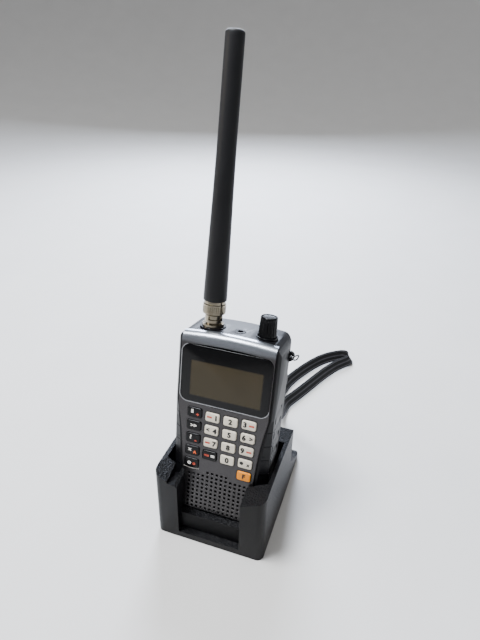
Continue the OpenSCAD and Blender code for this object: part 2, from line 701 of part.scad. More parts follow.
module antenna_rubber() color("#1a1a1b") on_radio() translate([-antenna_x, socket_d, rubber_low]) difference() {
  rotate_extrude($fn = 64) polygon(concat(
    [[0, 0], [antenna_foot_dia / 2 - 0.5, 0], [antenna_foot_dia / 2, 0.6], [antenna_foot_dia / 2, 3]],
    [[antenna_foot_dia / 2 - 1.2, antenna_l * 0.41], [antenna_tip_dia / 2 + 0.25, antenna_l * 0.6]],
    arc(antenna_tip_dia / 2 - 3, antenna_l - 3, 3, 0, 90),
    [[0, antenna_l]]
  ));
  translate([0, 0, -1]) cylinder(d = rubber_socket_dia, h = rubber_socket_l + 1);
}

// ---- Knob and sockets ----

module knob() color("#141415") on_radio() translate([knob_x, knob_d, knob_low]) difference() {
  cylinder(d1 = knob_foot_dia, d2 = knob_top_dia, h = knob_h);
  translate([0, 0, knob_h - 0.8]) cylinder(d = knob_top_dia - 1.8, h = 1);
  translate([0, 0, -1]) cylinder(d = shaft_dia, h = knob_h - 3);
  translate([0, 0, -1]) cylinder(d = bushing_dia + 1.2, h = 1.9);
}

module knob_shaft() color("#c8c8c4") on_radio()
  post(knob_x, knob_d, shaft_dia, pot_top - 4, knob_low + knob_h - 4);

module knob_collar() color("#1d1d20") on_radio() translate([knob_x, knob_d, body_h - 1.6]) difference() {
  cylinder(d = knob_collar_dia - 2 * seat_fit, h = 2);
  translate([0, 0, 0.6]) cylinder(d = knob_foot_dia + 0.8, h = 2);
  translate([0, 0, -1]) cylinder(d = bushing_dia + 0.2, h = 3);
}

module volume_control() color("#8f9094") on_radio() difference() {
  union() {
    block([knob_x - pot_w / 2, knob_d - pot_w / 2, pot_top - pot_h], [knob_x + pot_w / 2, knob_d + pot_w / 2, pot_top]);
    post(knob_x, knob_d, bushing_dia - 0.2, pot_top, knob_low + 0.2);
  }
  post(knob_x, knob_d, shaft_dia + 2 * turn_fit, pot_top - 4.2, body_h + 2);
}

module earphone_socket() color("#1c1c1e") on_radio() difference() {
  union() {
    block([phone_x - phone_w / 2, phone_d - phone_w / 2, body_h - phone_depth - 1],
      [phone_x + phone_w / 2, phone_d + phone_w / 2, body_h - wall - 2.2]);
    post(phone_x, phone_d, phone_nose_dia - 2 * seat_fit, body_h - wall - 3, body_h - 0.3);
    post(phone_x, phone_d, phone_rim_dia - 2 * seat_fit, body_h - 0.6, body_h + 0.2);
  }
  post(phone_x, phone_d, plug_bore_dia, body_h + 0.2 - phone_depth, body_h + 1);
}

module cable_socket() color("#9a9a9c") on_radio() difference() {
  block([-half_w + 0.4, cable_socket_d - cable_socket_t / 2, cable_socket_h - cable_socket_w / 2],
    [-half_w + cable_socket_l, cable_socket_d + cable_socket_t / 2, cable_socket_h + cable_socket_w / 2]);
  block([-half_w, cable_socket_d - cable_socket_t / 2 + 0.4, cable_socket_h - cable_socket_w / 2 + 0.4],
    [-half_w + cable_socket_l - 1, cable_socket_d + cable_socket_t / 2 - 0.4, cable_socket_h + cable_socket_w / 2 - 0.4]);
}

// ---- Power ----

module battery_door() color("#18181a") on_radio() difference() {
  union() {
    block([-door_w / 2, body_d - door_t + turn_fit, door_low], [door_w / 2, body_d, door_top]);
    block([-latch_w / 2, body_d - door_t - latch_t, door_top - latch_h], [latch_w / 2, body_d, door_top]);
  }
  // Thumb grooves
  for (i = [0 : 4]) block([-9, body_d - 0.5, door_top - 16 + 2 * i], [9, body_d + 1, door_top - 15 + 2 * i]);
}

module battery_cells() color("#3f6fb0") on_radio() for (side = [-1, 1]) {
  post(side * cell_x, cell_d, cell_dia, cell_low, cell_low + cell_l - 1.2);
  post(side * cell_x, cell_d, 5.2, cell_low + cell_l - 1.2, cell_low + cell_l);
}

// Sprung contacts under the cells and flat ones over them
module battery_contacts() color("#cfcabb") on_radio() for (side = [-1, 1]) {
  block([side * cell_x - 5, cell_d - 5, cell_low - spring_l - contact_t],
    [side * cell_x + 5, cell_d + 5, cell_low - spring_l]);
  translate([side * cell_x, cell_d, cell_low - spring_l]) difference() {
    cylinder(d1 = 8, d2 = 5, h = spring_l);
    translate([0, 0, -1]) cylinder(d1 = 8 - 2 * spring_wire + 0.5, d2 = 5 - 2 * spring_wire - 0.5, h = spring_l + 2);
  }
  block([side * cell_x - 5, cell_d - 5, cell_low + cell_l], [side * cell_x + 5, cell_d + 5, cell_low + cell_l + contact_t]);
}

module case_screws() color("#77777a") on_radio() at_screws() rotate([-90, 0, 0]) {
  translate([0, 0, body_d - screw_head_t - 1 - screw_l]) cylinder(d = screw_shank_dia, h = screw_l);
  difference() {
    translate([0, 0, body_d - screw_head_t - 1]) cylinder(d = screw_head_dia - 0.2, h = screw_head_t);
    for (turn = [0, 90]) translate([0, 0, body_d - 1.9]) rotate([0, 0, turn])
      block([-1.3, -0.25, 0], [1.3, 0.25, 2]);
  }
}

// ---- Strap ----

module strap_lug() color("#161618") on_radio() difference() {
  translate([half_w - 0.02, lug_d - lug_t / 2, lug_h]) rotate([-90, 0, 0]) difference() {
    cylinder(r = lug_r, h = lug_t);
    translate([lug_bore_x, 0, -1]) cylinder(d = lug_bore_dia, h = lug_t + 2);
  }
  block([-half_w, 0, 0], [half_w, body_d, body_h]);
}

// Which way the broad side stands at a height above the desk: upright, leaning over where the band lies on the desk
function lay(h) = let (s = min(1, max(0, (16 - h) / 9))) [-0.62 * s, 0.25 * s, 1 - 0.255 * s];

// Unit direction of the route at point i, and the flat side's and the broad side's directions across it
function heading(route, i) = let (
  a = route[max(i - 1, 0)], b = route[min(i + 1, len(route) - 1)]) (b - a) / norm(b - a);
function across(route, i) = let (t = heading(route, i), n = cross(t, lay(route[i][2]))) n / norm(n);
function upward(route, i) = cross(across(route, i), heading(route, i));

// A tube swept along a route, with an oval of eight sides
module swept(route, width, thickness) {
  sides = 8;
  count = len(route);
  points = [for (i = [0 : count - 1], k = [0 : sides - 1]) let (a = 360 * (k + 0.5) / sides, c = cos(180 / sides))
    route[i] + across(route, i) * thickness / 2 * cos(a) / c + upward(route, i) * width / 2 * sin(a) / c];
  skin = [for (i = [0 : count - 2], k = [0 : sides - 1])
    let (a = i * sides + k, b = i * sides + (k + 1) % sides) each [[a, b + sides, b], [a, a + sides, b + sides]]];
  caps = [[for (k = [0 : sides - 1]) k], [for (k = [sides - 1 : -1 : 0]) (count - 1) * sides + k]];
  polyhedron(points, concat(skin, caps));
}

module strap_tie() color("#1a1a1a") swept(TIE_ROUTE, tie_dia, tie_dia);
module strap_clasp() color("#121212") swept(CLASP_ROUTE, band_w + 1, 5);
module strap_band() color("#1c1a1b") swept(BAND_ROUTE, band_w, band_t);

// ---- Keys ----

module key(k) color(k[3] == "light" ? "#c9c1b1" : k[3] == "dark" ? "#151517" : "#e8941a") on_radio()
  translate([key_x(k[1]), 0, key_z(k[1], k[2])]) {
    slab(-key_proud, key_flange_d + key_flange_t) key_outline(k[3]);
    slab(key_flange_d, key_flange_d + key_flange_t) key_outline(k[3], key_flange);
  }

desk_stand();
front_case();
face_panel();
back_cover();
left_grip();
right_grip();
display_window();
screen();
screen_frame();
main_board();
keypad_mat();
speaker();
speaker_mesh();
antenna_socket();
socket_collar();
coupling_ring();
antenna_core();
antenna_rubber();
knob();
knob_shaft();
knob_collar();
volume_control();
earphone_socket();
cable_socket();
battery_door();
battery_cells();
battery_contacts();
case_screws();
strap_lug();
strap_tie();
strap_clasp();
strap_band();
for (k = KEYS) key(k);
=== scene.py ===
"""A hand-held radio scanner leaning in its desk stand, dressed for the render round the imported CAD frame.

Places are in metres in the frame's own axes. The radio's own axes are x across, d into its depth and h up
from its foot, in millimetres; on_radio() leans them back into the stand.
"""

import json
import math

import bmesh
import bpy
import numpy as np
from mathutils import Matrix, Vector


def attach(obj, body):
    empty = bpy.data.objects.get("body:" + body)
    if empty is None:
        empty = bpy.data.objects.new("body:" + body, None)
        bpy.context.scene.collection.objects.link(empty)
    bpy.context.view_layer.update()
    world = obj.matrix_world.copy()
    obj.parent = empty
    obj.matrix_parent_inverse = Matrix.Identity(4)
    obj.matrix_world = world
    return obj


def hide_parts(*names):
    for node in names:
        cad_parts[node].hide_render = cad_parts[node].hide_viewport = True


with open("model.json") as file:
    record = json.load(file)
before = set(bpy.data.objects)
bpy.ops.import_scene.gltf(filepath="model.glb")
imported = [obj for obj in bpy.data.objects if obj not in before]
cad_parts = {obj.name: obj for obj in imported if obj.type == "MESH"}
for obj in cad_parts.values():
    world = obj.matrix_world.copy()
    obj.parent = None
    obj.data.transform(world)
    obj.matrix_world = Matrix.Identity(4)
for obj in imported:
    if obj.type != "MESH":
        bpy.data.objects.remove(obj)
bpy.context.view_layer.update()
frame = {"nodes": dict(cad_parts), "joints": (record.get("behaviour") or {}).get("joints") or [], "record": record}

RECORD = frame["record"]
JOINTS = {joint["name"]: joint for joint in frame["joints"]}
BODY_OF = {node: body for body, nodes in RECORD["behaviour"]["bodies"].items() for node in nodes}
MM = 0.001

# ---- The radio's own axes, from the frame: the way a key presses is straight into its depth ----

PRESS = JOINTS["key_1_press"]["axis"]
LEAN = math.atan2(-PRESS[2], PRESS[1])
SEAT_Y, SEAT_H = -25.1, 19.82
SIN, COS = math.sin(LEAN), math.cos(LEAN)


def on_radio(points):
    """Points (x, d, h) in the radio's axes in mm, as points of the frame in metres: a turn by the lean and a step."""
    x, d, h = np.moveaxis(np.asarray(points, float), -1, 0)
    return np.stack([x, SEAT_Y + d * COS + h * SIN, SEAT_H + h * COS - d * SIN], axis=-1) * MM


def off_radio(points):
    """The way back: points of the frame in metres as (x, d, h) in the radio's axes in mm."""
    x, y, z = np.moveaxis(np.asarray(points, float) / MM, -1, 0)
    y, z = y - SEAT_Y, z - SEAT_H
    return np.stack([x, y * COS - z * SIN, y * SIN + z * COS], axis=-1)


def points_of(mesh):
    """The places of a mesh's corners, as rows of an array in the mesh's own units."""
    places = np.empty(len(mesh.vertices) * 3, np.float32)
    mesh.vertices.foreach_get("co", places)
    return places.reshape(-1, 3).astype(float)


def corners_of(mesh):
    """For each corner of each face in turn, the number of the vertex that it stands on."""
    index = np.empty(len(mesh.loops), np.int32)
    mesh.loops.foreach_get("vertex_index", index)
    return index


def span(node):
    """Lowest and highest corner of a CAD node in the radio's own axes, in mm."""
    co = off_radio(points_of(frame["nodes"][node].data))
    return co.min(0), co.max(0)


# ---- Camera: three quarters from the right, above the radio's top ----

EYE = Vector((0.08911, -0.24849, 0.31319))
LOOK_AT = Vector((0.007471, 0.0, 0.162821))
ROLL_DEG = 1.469
LENS_MM = 28.89


def make_camera():
    """A camera at EYE, facing LOOK_AT, turned by ROLL_DEG about its own line of sight."""
    camera = bpy.data.objects.new("camera", bpy.data.cameras.new("camera"))
    bpy.context.scene.collection.objects.link(camera)
    camera.data.lens = LENS_MM
    camera.data.clip_start, camera.data.clip_end = 0.01, 50
    facing = (LOOK_AT - EYE).to_track_quat("-Z", "Y").to_matrix().to_4x4()
    camera.matrix_world = Matrix.Translation(EYE) @ facing @ Matrix.Rotation(math.radians(ROLL_DEG), 4, "Z")
    bpy.context.scene.camera = camera


make_camera()

# ---- Small tools for nodes and materials ----


def linear(hex_colour):
    """An sRGB hex colour as linear red, green, blue and an alpha of 1."""
    channels = [int(hex_colour[i : i + 2], 16) / 255 for i in (1, 3, 5)]
    return [c / 12.92 if c <= 0.04045 else ((c + 0.055) / 1.055) ** 2.4 for c in channels] + [1.0]


def new_material(name, **shader):
    """A material with one Principled shader, whose constants are set on its own sockets. Returns the material, its
    tree and the shader's sockets."""
    made = bpy.data.materials.new(name)
    made.use_nodes = True
    sockets = made.node_tree.nodes["Principled BSDF"].inputs
    for socket, value in shader.items():
        sockets[socket.replace("_", " ")].default_value = value
    return made, made.node_tree, sockets


def add(tree, kind, inputs=(), to=None, out=0, **settings):
    """Adds a node of a kind and returns one of its outputs, by name or number. inputs gives its sockets, by name or
    number, a constant or the output that feeds them; settings are its properties; to is a socket that it feeds."""
    node = tree.nodes.new(kind)
    for name, value in settings.items():
        setattr(node, name, value)
    for name, value in dict(inputs).items():
        if isinstance(value, bpy.types.NodeSocket):
            tree.links.new(value, node.inputs[name])
        else:
            node.inputs[name].default_value = value
    if to is not None:
        tree.links.new(node.outputs[out], to)
    return node.outputs[out]


COORDS, SPLIT, NOISE = "ShaderNodeTexCoord", "ShaderNodeSeparateXYZ", "ShaderNodeTexNoise"
MIX, RANGE, MATH, BUMP = "ShaderNodeMix", "ShaderNodeMapRange", "ShaderNodeMath", "ShaderNodeBump"
# The Mapping node's settings that turn object coordinates back into the radio's own axes, still in metres
UPRIGHT = {"Rotation": (-LEAN, 0, 0), "Location": (0, SEAT_Y * MM, SEAT_H * MM)}

# ---- Materials ----


def moulded_plastic(name, dark, light, roughness, texture_mm=0.4, depth_mm=0.005, scuffs=0.1):
    """Injection-moulded ABS: an even colour, a fine spark-eroded texture from the mould and slight rub marks, which
    give the eye soft highlights that break up where hands have polished the skin."""
    made, tree, shader = new_material(name, IOR=1.5, Specular_IOR_Level=0.17)
    coords = add(tree, COORDS, out="Object")
    rub = add(tree, NOISE, {"Vector": coords, "Scale": 1 / (14 * MM), "Detail": 3})
    texture = add(tree, NOISE, {"Vector": coords, "Scale": 1 / (texture_mm * MM), "Detail": 2})
    add(tree, MIX, {0: rub, 6: linear(dark), 7: linear(light)}, shader["Base Color"], 2, data_type="RGBA")
    add(tree, RANGE, {"Value": rub, "To Min": roughness - scuffs / 2, "To Max": roughness + scuffs / 2},
        shader["Roughness"])
    add(tree, BUMP, {"Height": texture, "Distance": depth_mm * MM}, shader["Normal"])
    return made


def layered_plastic():
    """Black PLA printed in layers: ribs along every wall, and a rough field of crossing strands on the tops, which
    breaks the light into cool specks. Layers are 0.2 mm and are drawn 0.6 mm so that they show."""
    made, tree, shader = new_material("pla_printed_in_layers", IOR=1.46, Specular_IOR_Level=0.15)
    coords = add(tree, COORDS, out="Object")
    along = add(tree, SPLIT, {"Vector": coords}, out="Z")
    turns = add(tree, MATH, {0: along, 1: 2 * math.pi / (0.6 * MM)}, operation="MULTIPLY")
    layers = add(tree, MATH, {0: turns}, operation="SINE")
    wall = add(tree, RANGE, {"Value": layers, "From Min": -1.0, "To Max": 0.06})
    facing = add(tree, "ShaderNodeNewGeometry", out="Normal")
    up = add(tree, SPLIT, {"Vector": facing}, out="Z")
    top = add(tree, RANGE, {"Value": up, "From Min": 0.55, "From Max": 0.8})
    strands = add(tree, "ShaderNodeTexVoronoi", {"Vector": coords, "Scale": 1 / (1.3 * MM)}, out="Distance")
    fuzz = add(tree, NOISE, {"Vector": coords, "Scale": 1 / (0.8 * MM), "Detail": 4, "Roughness": 0.75})
    rough = add(tree, MATH, {0: strands, 1: fuzz}, operation="MULTIPLY")
    height = add(tree, MIX, {0: top, 2: wall, 3: rough}, data_type="FLOAT")
    add(tree, MIX, {0: fuzz, 6: linear("#040405"), 7: linear("#0b0b0e")}, shader["Base Color"], 2, data_type="RGBA")
    add(tree, RANGE, {"Value": fuzz, "To Min": 0.26, "To Max": 0.5}, shader["Roughness"])
    add(tree, BUMP, {"Height": height, "Distance": 0.9 * MM}, shader["Normal"])
    return made


def metal_lacquer():
    """Gunmetal lacquer sprayed on plastic: a dark grey with fine flakes that glint under a satin clear coat. Over the
    rolled top, from 122 to 127 mm up the radio, it is painted a brighter and cooler grey: a painted highlight where
    light from above catches the roll."""
    made, tree, shader = new_material("lacquer_gunmetal_flake", Metallic=0.85, Coat_Weight=0.12, Coat_Roughness=0.2)
    coords = add(tree, COORDS, out="Object")
    upright = add(tree, "ShaderNodeMapping", {"Vector": coords} | UPRIGHT, vector_type="TEXTURE")
    flakes = add(tree, NOISE, {"Vector": coords, "Scale": 1 / (0.3 * MM), "Detail": 1})
    height = add(tree, SPLIT, {"Vector": upright}, out="Z")
    # Mask for the painted highlight on the roll: 0 below 122 mm up the radio, 1 above 127 mm
    roll = add(tree, RANGE, {"Value": height, "From Min": 122 * MM, "From Max": 127 * MM},
               interpolation_type="SMOOTHSTEP")
    front = add(tree, MIX, {0: flakes, 6: linear("#262526"), 7: linear("#4c4a4b")}, out=2, data_type="RGBA")
    # Brighter, cooler grey that paints the highlight on the roll
    painted_highlight_over_top = add(tree, MIX, {0: flakes, 6: linear("#66696f"), 7: linear("#a4a9b0")}, out=2, data_type="RGBA")
    add(tree, MIX, {0: roll, 6: front, 7: painted_highlight_over_top}, shader["Base Color"], 2, data_type="RGBA")
    haze = add(tree, NOISE, {"Vector": coords, "Scale": 1 / (9 * MM), "Detail": 3})
    add(tree, RANGE, {"Value": haze, "To Min": 0.26, "To Max": 0.36}, shader["Roughness"])
    add(tree, BUMP, {"Height": flakes, "Distance": 0.002 * MM}, shader["Normal"])
    return made


def window_acrylic():
    """Clear acrylic printed black behind, with a clear rectangle over the liquid crystal: a hard gloss, under which the
    picture is a dull olive. Painted shade darkens it over its last 1.4 mm towards its frame, where the frame's depth
    would shadow it."""
    made, tree, shader = new_material("acrylic_printed_black", IOR=1.49, Roughness=0.04, Specular_IOR_Level=0.2)
    coords = add(tree, COORDS, out="Object")
    upright = add(tree, "ShaderNodeMapping", {"Vector": coords} | UPRIGHT, vector_type="TEXTURE")
    low, high = span("screen")
    middle, half = (low + high) / 2 * MM, (high - low) / 2 * MM
    # shade fades each axis to black over 1.4 mm at the rectangle's edge: painted shade from the frame
    shade = []
    for axis, number in (("X", 0), ("Z", 2)):
        place = add(tree, SPLIT, {"Vector": upright}, out=axis)
        away = add(tree, MATH, {0: place, 1: middle[number]}, operation="SUBTRACT")
        size = add(tree, MATH, {0: away}, operation="ABSOLUTE")
        shade.append(add(tree, RANGE, {"Value": size, "From Min": half[number], "From Max": half[number] - 1.4 * MM},
                         interpolation_type="SMOOTHSTEP"))
    lcd_area_with_painted_frame_shade = add(tree, MATH, {0: shade[0], 1: shade[1]}, operation="MULTIPLY")
    clouds = add(tree, NOISE, {"Vector": coords, "Scale": 1 / (22 * MM), "Detail": 1})
    olive = add(tree, MIX, {0: clouds, 6: linear("#2b2517"), 7: linear("#373021")}, out=2, data_type="RGBA")
    add(tree, MIX, {0: lcd_area_with_painted_frame_shade, 6: linear("#020203"), 7: olive}, shader["Base Color"], 2, data_type="RGBA")
    return made


def plated_metal(name, dark, light, roughness, scratch_mm=0.5):
    """Plated or bare metal: bright, with fine turning marks that spread its highlights into streaks."""
    made, tree, shader = new_material(name, Metallic=1.0)
    coords = add(tree, COORDS, out="Object")
    marks = add(tree, NOISE, {"Vector": coords, "Scale": 1 / (scratch_mm * MM), "Detail": 4, "Roughness": 0.7})
    tarnish = add(tree, NOISE, {"Vector": coords, "Scale": 1 / (3 * MM), "Detail": 2})
    add(tree, MIX, {0: tarnish, 6: linear(dark), 7: linear(light)}, shader["Base Color"], 2, data_type="RGBA")
    add(tree, RANGE, {"Value": marks, "To Min": roughness * 0.7, "To Max": roughness * 1.4}, shader["Roughness"])
    add(tree, BUMP, {"Height": marks, "Distance": 0.004 * MM}, shader["Normal"])
    return made


def moulded_rubber(name, dark, light, roughness, texture_mm=0.5, depth_mm=0.02, sheen=0.08):
    """Moulded elastomer, cloth or paper: matt, with a soft bloom at grazing angles and a slightly uneven skin."""
    made, tree, shader = new_material(name, IOR=1.5, Specular_IOR_Level=0.26, Sheen_Weight=sheen,
                                      Sheen_Roughness=0.5)
    coords = add(tree, COORDS, out="Object")
    bloom = add(tree, NOISE, {"Vector": coords, "Scale": 1 / (18 * MM), "Detail": 3})
    texture = add(tree, NOISE, {"Vector": coords, "Scale": 1 / (texture_mm * MM), "Detail": 3})
    add(tree, MIX, {0: bloom, 6: linear(dark), 7: linear(light)}, shader["Base Color"], 2, data_type="RGBA")
    add(tree, RANGE, {"Value": bloom, "To Min": roughness - 0.06, "To Max": roughness + 0.06}, shader["Roughness"])
    add(tree, BUMP, {"Height": texture, "Distance": depth_mm * MM}, shader["Normal"])
    return made


def printed_ink(name, thin, full):
    """Screen-printed ink: flat and matt, a little thinner in places, as the mesh leaves it."""
    made, tree, shader = new_material(name, Roughness=0.55, IOR=1.5)
    coords = add(tree, COORDS, out="Object")
    cover = add(tree, NOISE, {"Vector": coords, "Scale": 1 / (0.4 * MM), "Detail": 2})
    add(tree, MIX, {0: cover, 6: linear(thin), 7: linear(full)}, shader["Base Color"], 2, data_type="RGBA")
    return made


def woven_webbing(name, dark, light, ribs, pick_mm):
    """Woven polyester: ribs run along the band, with a painted highlight in the paler colour along their crests, and
    picks cross it pick_mm apart.
    U runs along the band in metres and V once round its section, so ribs counts those of both faces."""
    made, tree, shader = new_material(name, IOR=1.5, Roughness=0.72, Specular_IOR_Level=0.2, Sheen_Weight=0.08,
                                      Sheen_Roughness=0.45)
    uv = add(tree, "ShaderNodeUVMap", uv_map="weave")
    waves = []
    for axis, turns in (("X", 1 / (pick_mm * MM)), ("Y", ribs)):
        place = add(tree, SPLIT, {"Vector": uv}, out=axis)
        turned_by = add(tree, MATH, {0: place, 1: 2 * math.pi * turns}, operation="MULTIPLY")
        waves.append(add(tree, MATH, {0: turned_by}, operation="COSINE"))
    pick = add(tree, RANGE, {"Value": waves[0], "From Min": -1.0, "To Min": 0.6})
    crest_painted_highlight = add(tree, RANGE, {"Value": waves[1], "From Min": 0.35}, interpolation_type="SMOOTHSTEP")
    weave = add(tree, MATH, {0: crest_painted_highlight, 1: pick}, operation="MULTIPLY")
    # Colour runs from dark to light on the rib crests: a painted highlight
    add(tree, MIX, {0: weave, 6: linear(dark), 7: linear(light)}, shader["Base Color"], 2, data_type="RGBA")
    add(tree, BUMP, {"Height": weave, "Distance": 0.2 * MM}, shader["Normal"])
    return made


# Each finish, and what it gives the eye
STAND_PLASTIC = layered_plastic()
# Black ABS: the case and door are satin, the fittings glossy, the knob darkest and most polished
CASE_PLASTIC = moulded_plastic("abs_black_spark_eroded", "#0b0b0d", "#131316", 0.42)
DOOR_PLASTIC = moulded_plastic("abs_black_door", "#0c0c0e", "#141417", 0.46)
GLOSS_PLASTIC = moulded_plastic("abs_black_gloss", "#08080a", "#0e0e11", 0.24, 0.5, 0.004)
KNOB_PLASTIC = moulded_plastic("abs_black_knob", "#040405", "#09090b", 0.22, 0.3, 0.003)
CLASP_PLASTIC = moulded_plastic("abs_black_clasp", "#0a0a0b", "#131315", 0.3)
PANEL_PAINT = metal_lacquer()
WINDOW = window_acrylic()
# Metals: warm nickel, a darker nickel on the knurl, and cooler steel inside
# A silver strip that is a painted highlight on the edge round the window
HIGHLIGHT_STRIP_METAL = plated_metal("silver_strip_painted_highlight", "#8a8b8e", "#b4b5b8", 0.3)
NICKEL = plated_metal("brass_nickel_plated", "#7b7464", "#aaa291", 0.17)
DARK_KNURL_NICKEL = plated_metal("brass_nickel_knurled", "#4d473b", "#8d8674", 0.3)
STEEL = plated_metal("steel_zinc_plated", "#7d7e80", "#9fa0a3", 0.34)
SPRING_STEEL = plated_metal("steel_spring_nickel", "#a5a29a", "#c9c6bd", 0.28)
POT_METAL = plated_metal("steel_pot_can", "#84868a", "#a4a6aa", 0.36)
# Rubber: matt black outside, pale under the keys; the keys are smooth silicone in warm ivory and orange
ANTENNA_RUBBER = moulded_rubber("elastomer_antenna_sleeve", "#060608", "#0d0d10", 0.5, 0.8, 0.012, 0.04)
GRIP_RUBBER = moulded_rubber("elastomer_side_grip", "#0a0a0b", "#121214", 0.42, 0.45, 0.015, 0.04)
MAT_RUBBER = moulded_rubber("silicone_keypad_mat", "#7d7d79", "#989893", 0.55)
KEY_LIGHT = moulded_rubber("silicone_key_ivory", "#c9c0ae", "#d8d0c0", 0.42, 0.4, 0.006, 0.0)
KEY_ACCENT = moulded_rubber("silicone_key_orange", "#d97c0c", "#ee9420", 0.4, 0.4, 0.006, 0.0)
KEY_DARK = moulded_plastic("key_cap_black_gloss", "#060607", "#0b0b0d", 0.22, 0.5, 0.003)
INK_BLACK = printed_ink("ink_black", "#0a0908", "#070605")
INK_WHITE = printed_ink("ink_white", "#d3d0ca", "#dddad4")
INK_RED = printed_ink("ink_red", "#ad3d28", "#bb432c")
INK_ORANGE = printed_ink("ink_orange", "#d05318", "#de5b1c")
# Inside: dull cloth and paper at the speaker, a milky light frame, green laminate, glossy cell jackets, dark glass
MESH_CLOTH = moulded_rubber("polyester_speaker_cloth", "#0a0a0a", "#161616", 0.8, 0.25, 0.05, 0.1)
SPEAKER_PAPER = moulded_rubber("paper_speaker_cone", "#242426", "#333336", 0.7)
FRAME_PLASTIC = moulded_plastic("abs_white_light_frame", "#cfcfc6", "#dedfd8", 0.5)
LAMINATE = moulded_plastic("glass_epoxy_green", "#18492c", "#246b42", 0.35, 1.2, 0.02)
CELL_JACKET = moulded_plastic("pvc_cell_jacket_blue", "#2f5c9c", "#4676b8", 0.28, 2.0, 0.004)
SCREEN_GLASS = moulded_plastic("glass_liquid_crystal", "#39321f", "#463e2c", 0.12, 6.0, 0.002)
# The strap: painted highlights lay pale lines on the crests of its ribs, and its tie is plain and dark, with fainter
# painted highlights on its strands
WEBBING = woven_webbing("polyester_webbing_black", "#040405", "#3a393d", 8, 1.2)
CORD_BRAID = woven_webbing("nylon_braided_cord", "#050506", "#1b1b1d", 3, 0.6)

# ---- Small tools for pieces ----


def finish_piece(name, mesh, material, body, nodes=(), smooth_deg=35):
    """Makes an object of a mesh, shades it smooth but for edges sharper than smooth_deg, and ties it to the frame."""
    piece = bpy.data.objects.new(name, mesh)
    bpy.context.scene.collection.objects.link(piece)
    mesh.materials.append(material)
    mesh.shade_smooth()
    mesh.set_sharp_from_angle(angle=math.radians(smooth_deg))
    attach(piece, body)
    if nodes:
        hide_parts(*nodes)
    return piece


def quads(rows, columns, wrap_rows, wrap_columns):
    """Faces of a grid of rows by columns points, four corners each, joined round either way where asked."""
    r = np.arange(rows if wrap_rows else rows - 1)[:, None]
    c = np.arange(columns if wrap_columns else columns - 1)[None, :]
    r1, c1 = (r + 1) % rows, (c + 1) % columns
    return np.stack([r * columns + c, r * columns + c1, r1 * columns + c1, r1 * columns + c], axis=-1).reshape(-1, 4)


def grid_mesh(name, points, wrap_rows=False, wrap_columns=True, flip=False):
    """A mesh of a grid of points, rows by columns. Where the rows don't join round, the first and last row are closed
    with a face, unless a row is a single point many times over, which is merged into a pole."""
    rows, columns = points.shape[:2]
    faces = quads(rows, columns, wrap_rows, wrap_columns).tolist()
    if not wrap_rows and wrap_columns:
        faces.append(list(range(columns))[::-1])
        faces.append(list(range((rows - 1) * columns, rows * columns)))
    if flip:
        faces = [face[::-1] for face in faces]
    mesh = bpy.data.meshes.new(name)
    mesh.from_pydata(points.reshape(-1, 3).tolist(), [], faces)
    tidy = bmesh.new()
    tidy.from_mesh(mesh)
    bmesh.ops.remove_doubles(tidy, verts=tidy.verts, dist=1e-7)
    bmesh.ops.recalc_face_normals(tidy, faces=tidy.faces)
    tidy.to_mesh(mesh)
    tidy.free()
    return mesh


def eased(node, material, edge_mm, segments=2, edge_deg=38, smooth_deg=32):
    """A CAD node with its corners eased: its triangles are merged into whole faces, and each edge sharper than
    edge_deg is rounded edge_mm wide, as a mould or a print leaves it."""
    mesh = bpy.data.meshes.new(node + "_eased")
    shape = bmesh.new()
    shape.from_mesh(frame["nodes"][node].data)
    bmesh.ops.remove_doubles(shape, verts=shape.verts, dist=1e-6)
    bmesh.ops.dissolve_limit(shape, angle_limit=math.radians(0.8), verts=shape.verts, edges=shape.edges)
    shape.to_mesh(mesh)
    shape.free()
    mesh.materials.clear()
    piece = finish_piece(node + "_eased", mesh, material, BODY_OF[node], [node], smooth_deg)
    rounding = piece.modifiers.new("rounding", "BEVEL")
    rounding.width = edge_mm * MM
    rounding.segments = segments
    rounding.limit_method = "ANGLE"
    rounding.angle_limit = math.radians(edge_deg)
    rounding.harden_normals = True
    return piece


def turned(x, d, profile, turns=72, shape=None):
    """Points of a surface of revolution about an axis up the radio at (x, d): profile is (radius, h) along its rows,
    and shape(angle, row) may scale each radius."""
    radius, height = np.array(profile, float).T
    angle = np.linspace(0, 2 * math.pi, turns, endpoint=False)
    scale = np.ones((len(radius), turns)) if shape is None else shape(angle[None, :], np.arange(len(radius))[:, None])
    r = radius[:, None] * scale
    height = np.repeat(height[:, None], turns, 1)
    return on_radio(np.stack([x + r * np.cos(angle), d + r * np.sin(angle), height], -1))


def corner(cx, cy, r, from_deg, to_deg, steps=6):
    """Points round a corner: an arc of radius r about (cx, cy)."""
    a = np.radians(np.linspace(from_deg, to_deg, steps))
    return np.stack([cx + r * np.cos(a), cy + r * np.sin(a)], axis=-1).tolist()


def round_rectangle(half_w, half_h, r, per_corner=8):
    """A rectangle's outline with round corners, anticlockwise from the right, centred on 0."""
    centres = [(half_w - r, half_h - r, 0), (r - half_w, half_h - r, 90), (r - half_w, r - half_h, 180),
               (half_w - r, r - half_h, 270)]
    return np.array([p for cx, cy, a in centres for p in corner(cx, cy, r, a, a + 90, per_corner)])


def smooth_route(route, steps):
    """A Catmull-Rom curve through the points of a route, steps points for each stretch."""
    p = np.concatenate([[2 * route[0] - route[1]], route, [2 * route[-1] - route[-2]]])
    t = np.linspace(0, 1, steps, endpoint=False)[None, :, None]
    a, b, c, d = (p[i : len(p) - 3 + i, None, :] for i in range(4))
    curve = 0.5 * (2 * b + (c - a) * t + (2 * a - 5 * b + 4 * c - d) * t**2 + (3 * b - a - 3 * c + d) * t**3)
    return np.concatenate([curve.reshape(-1, 3), route[-1:]])


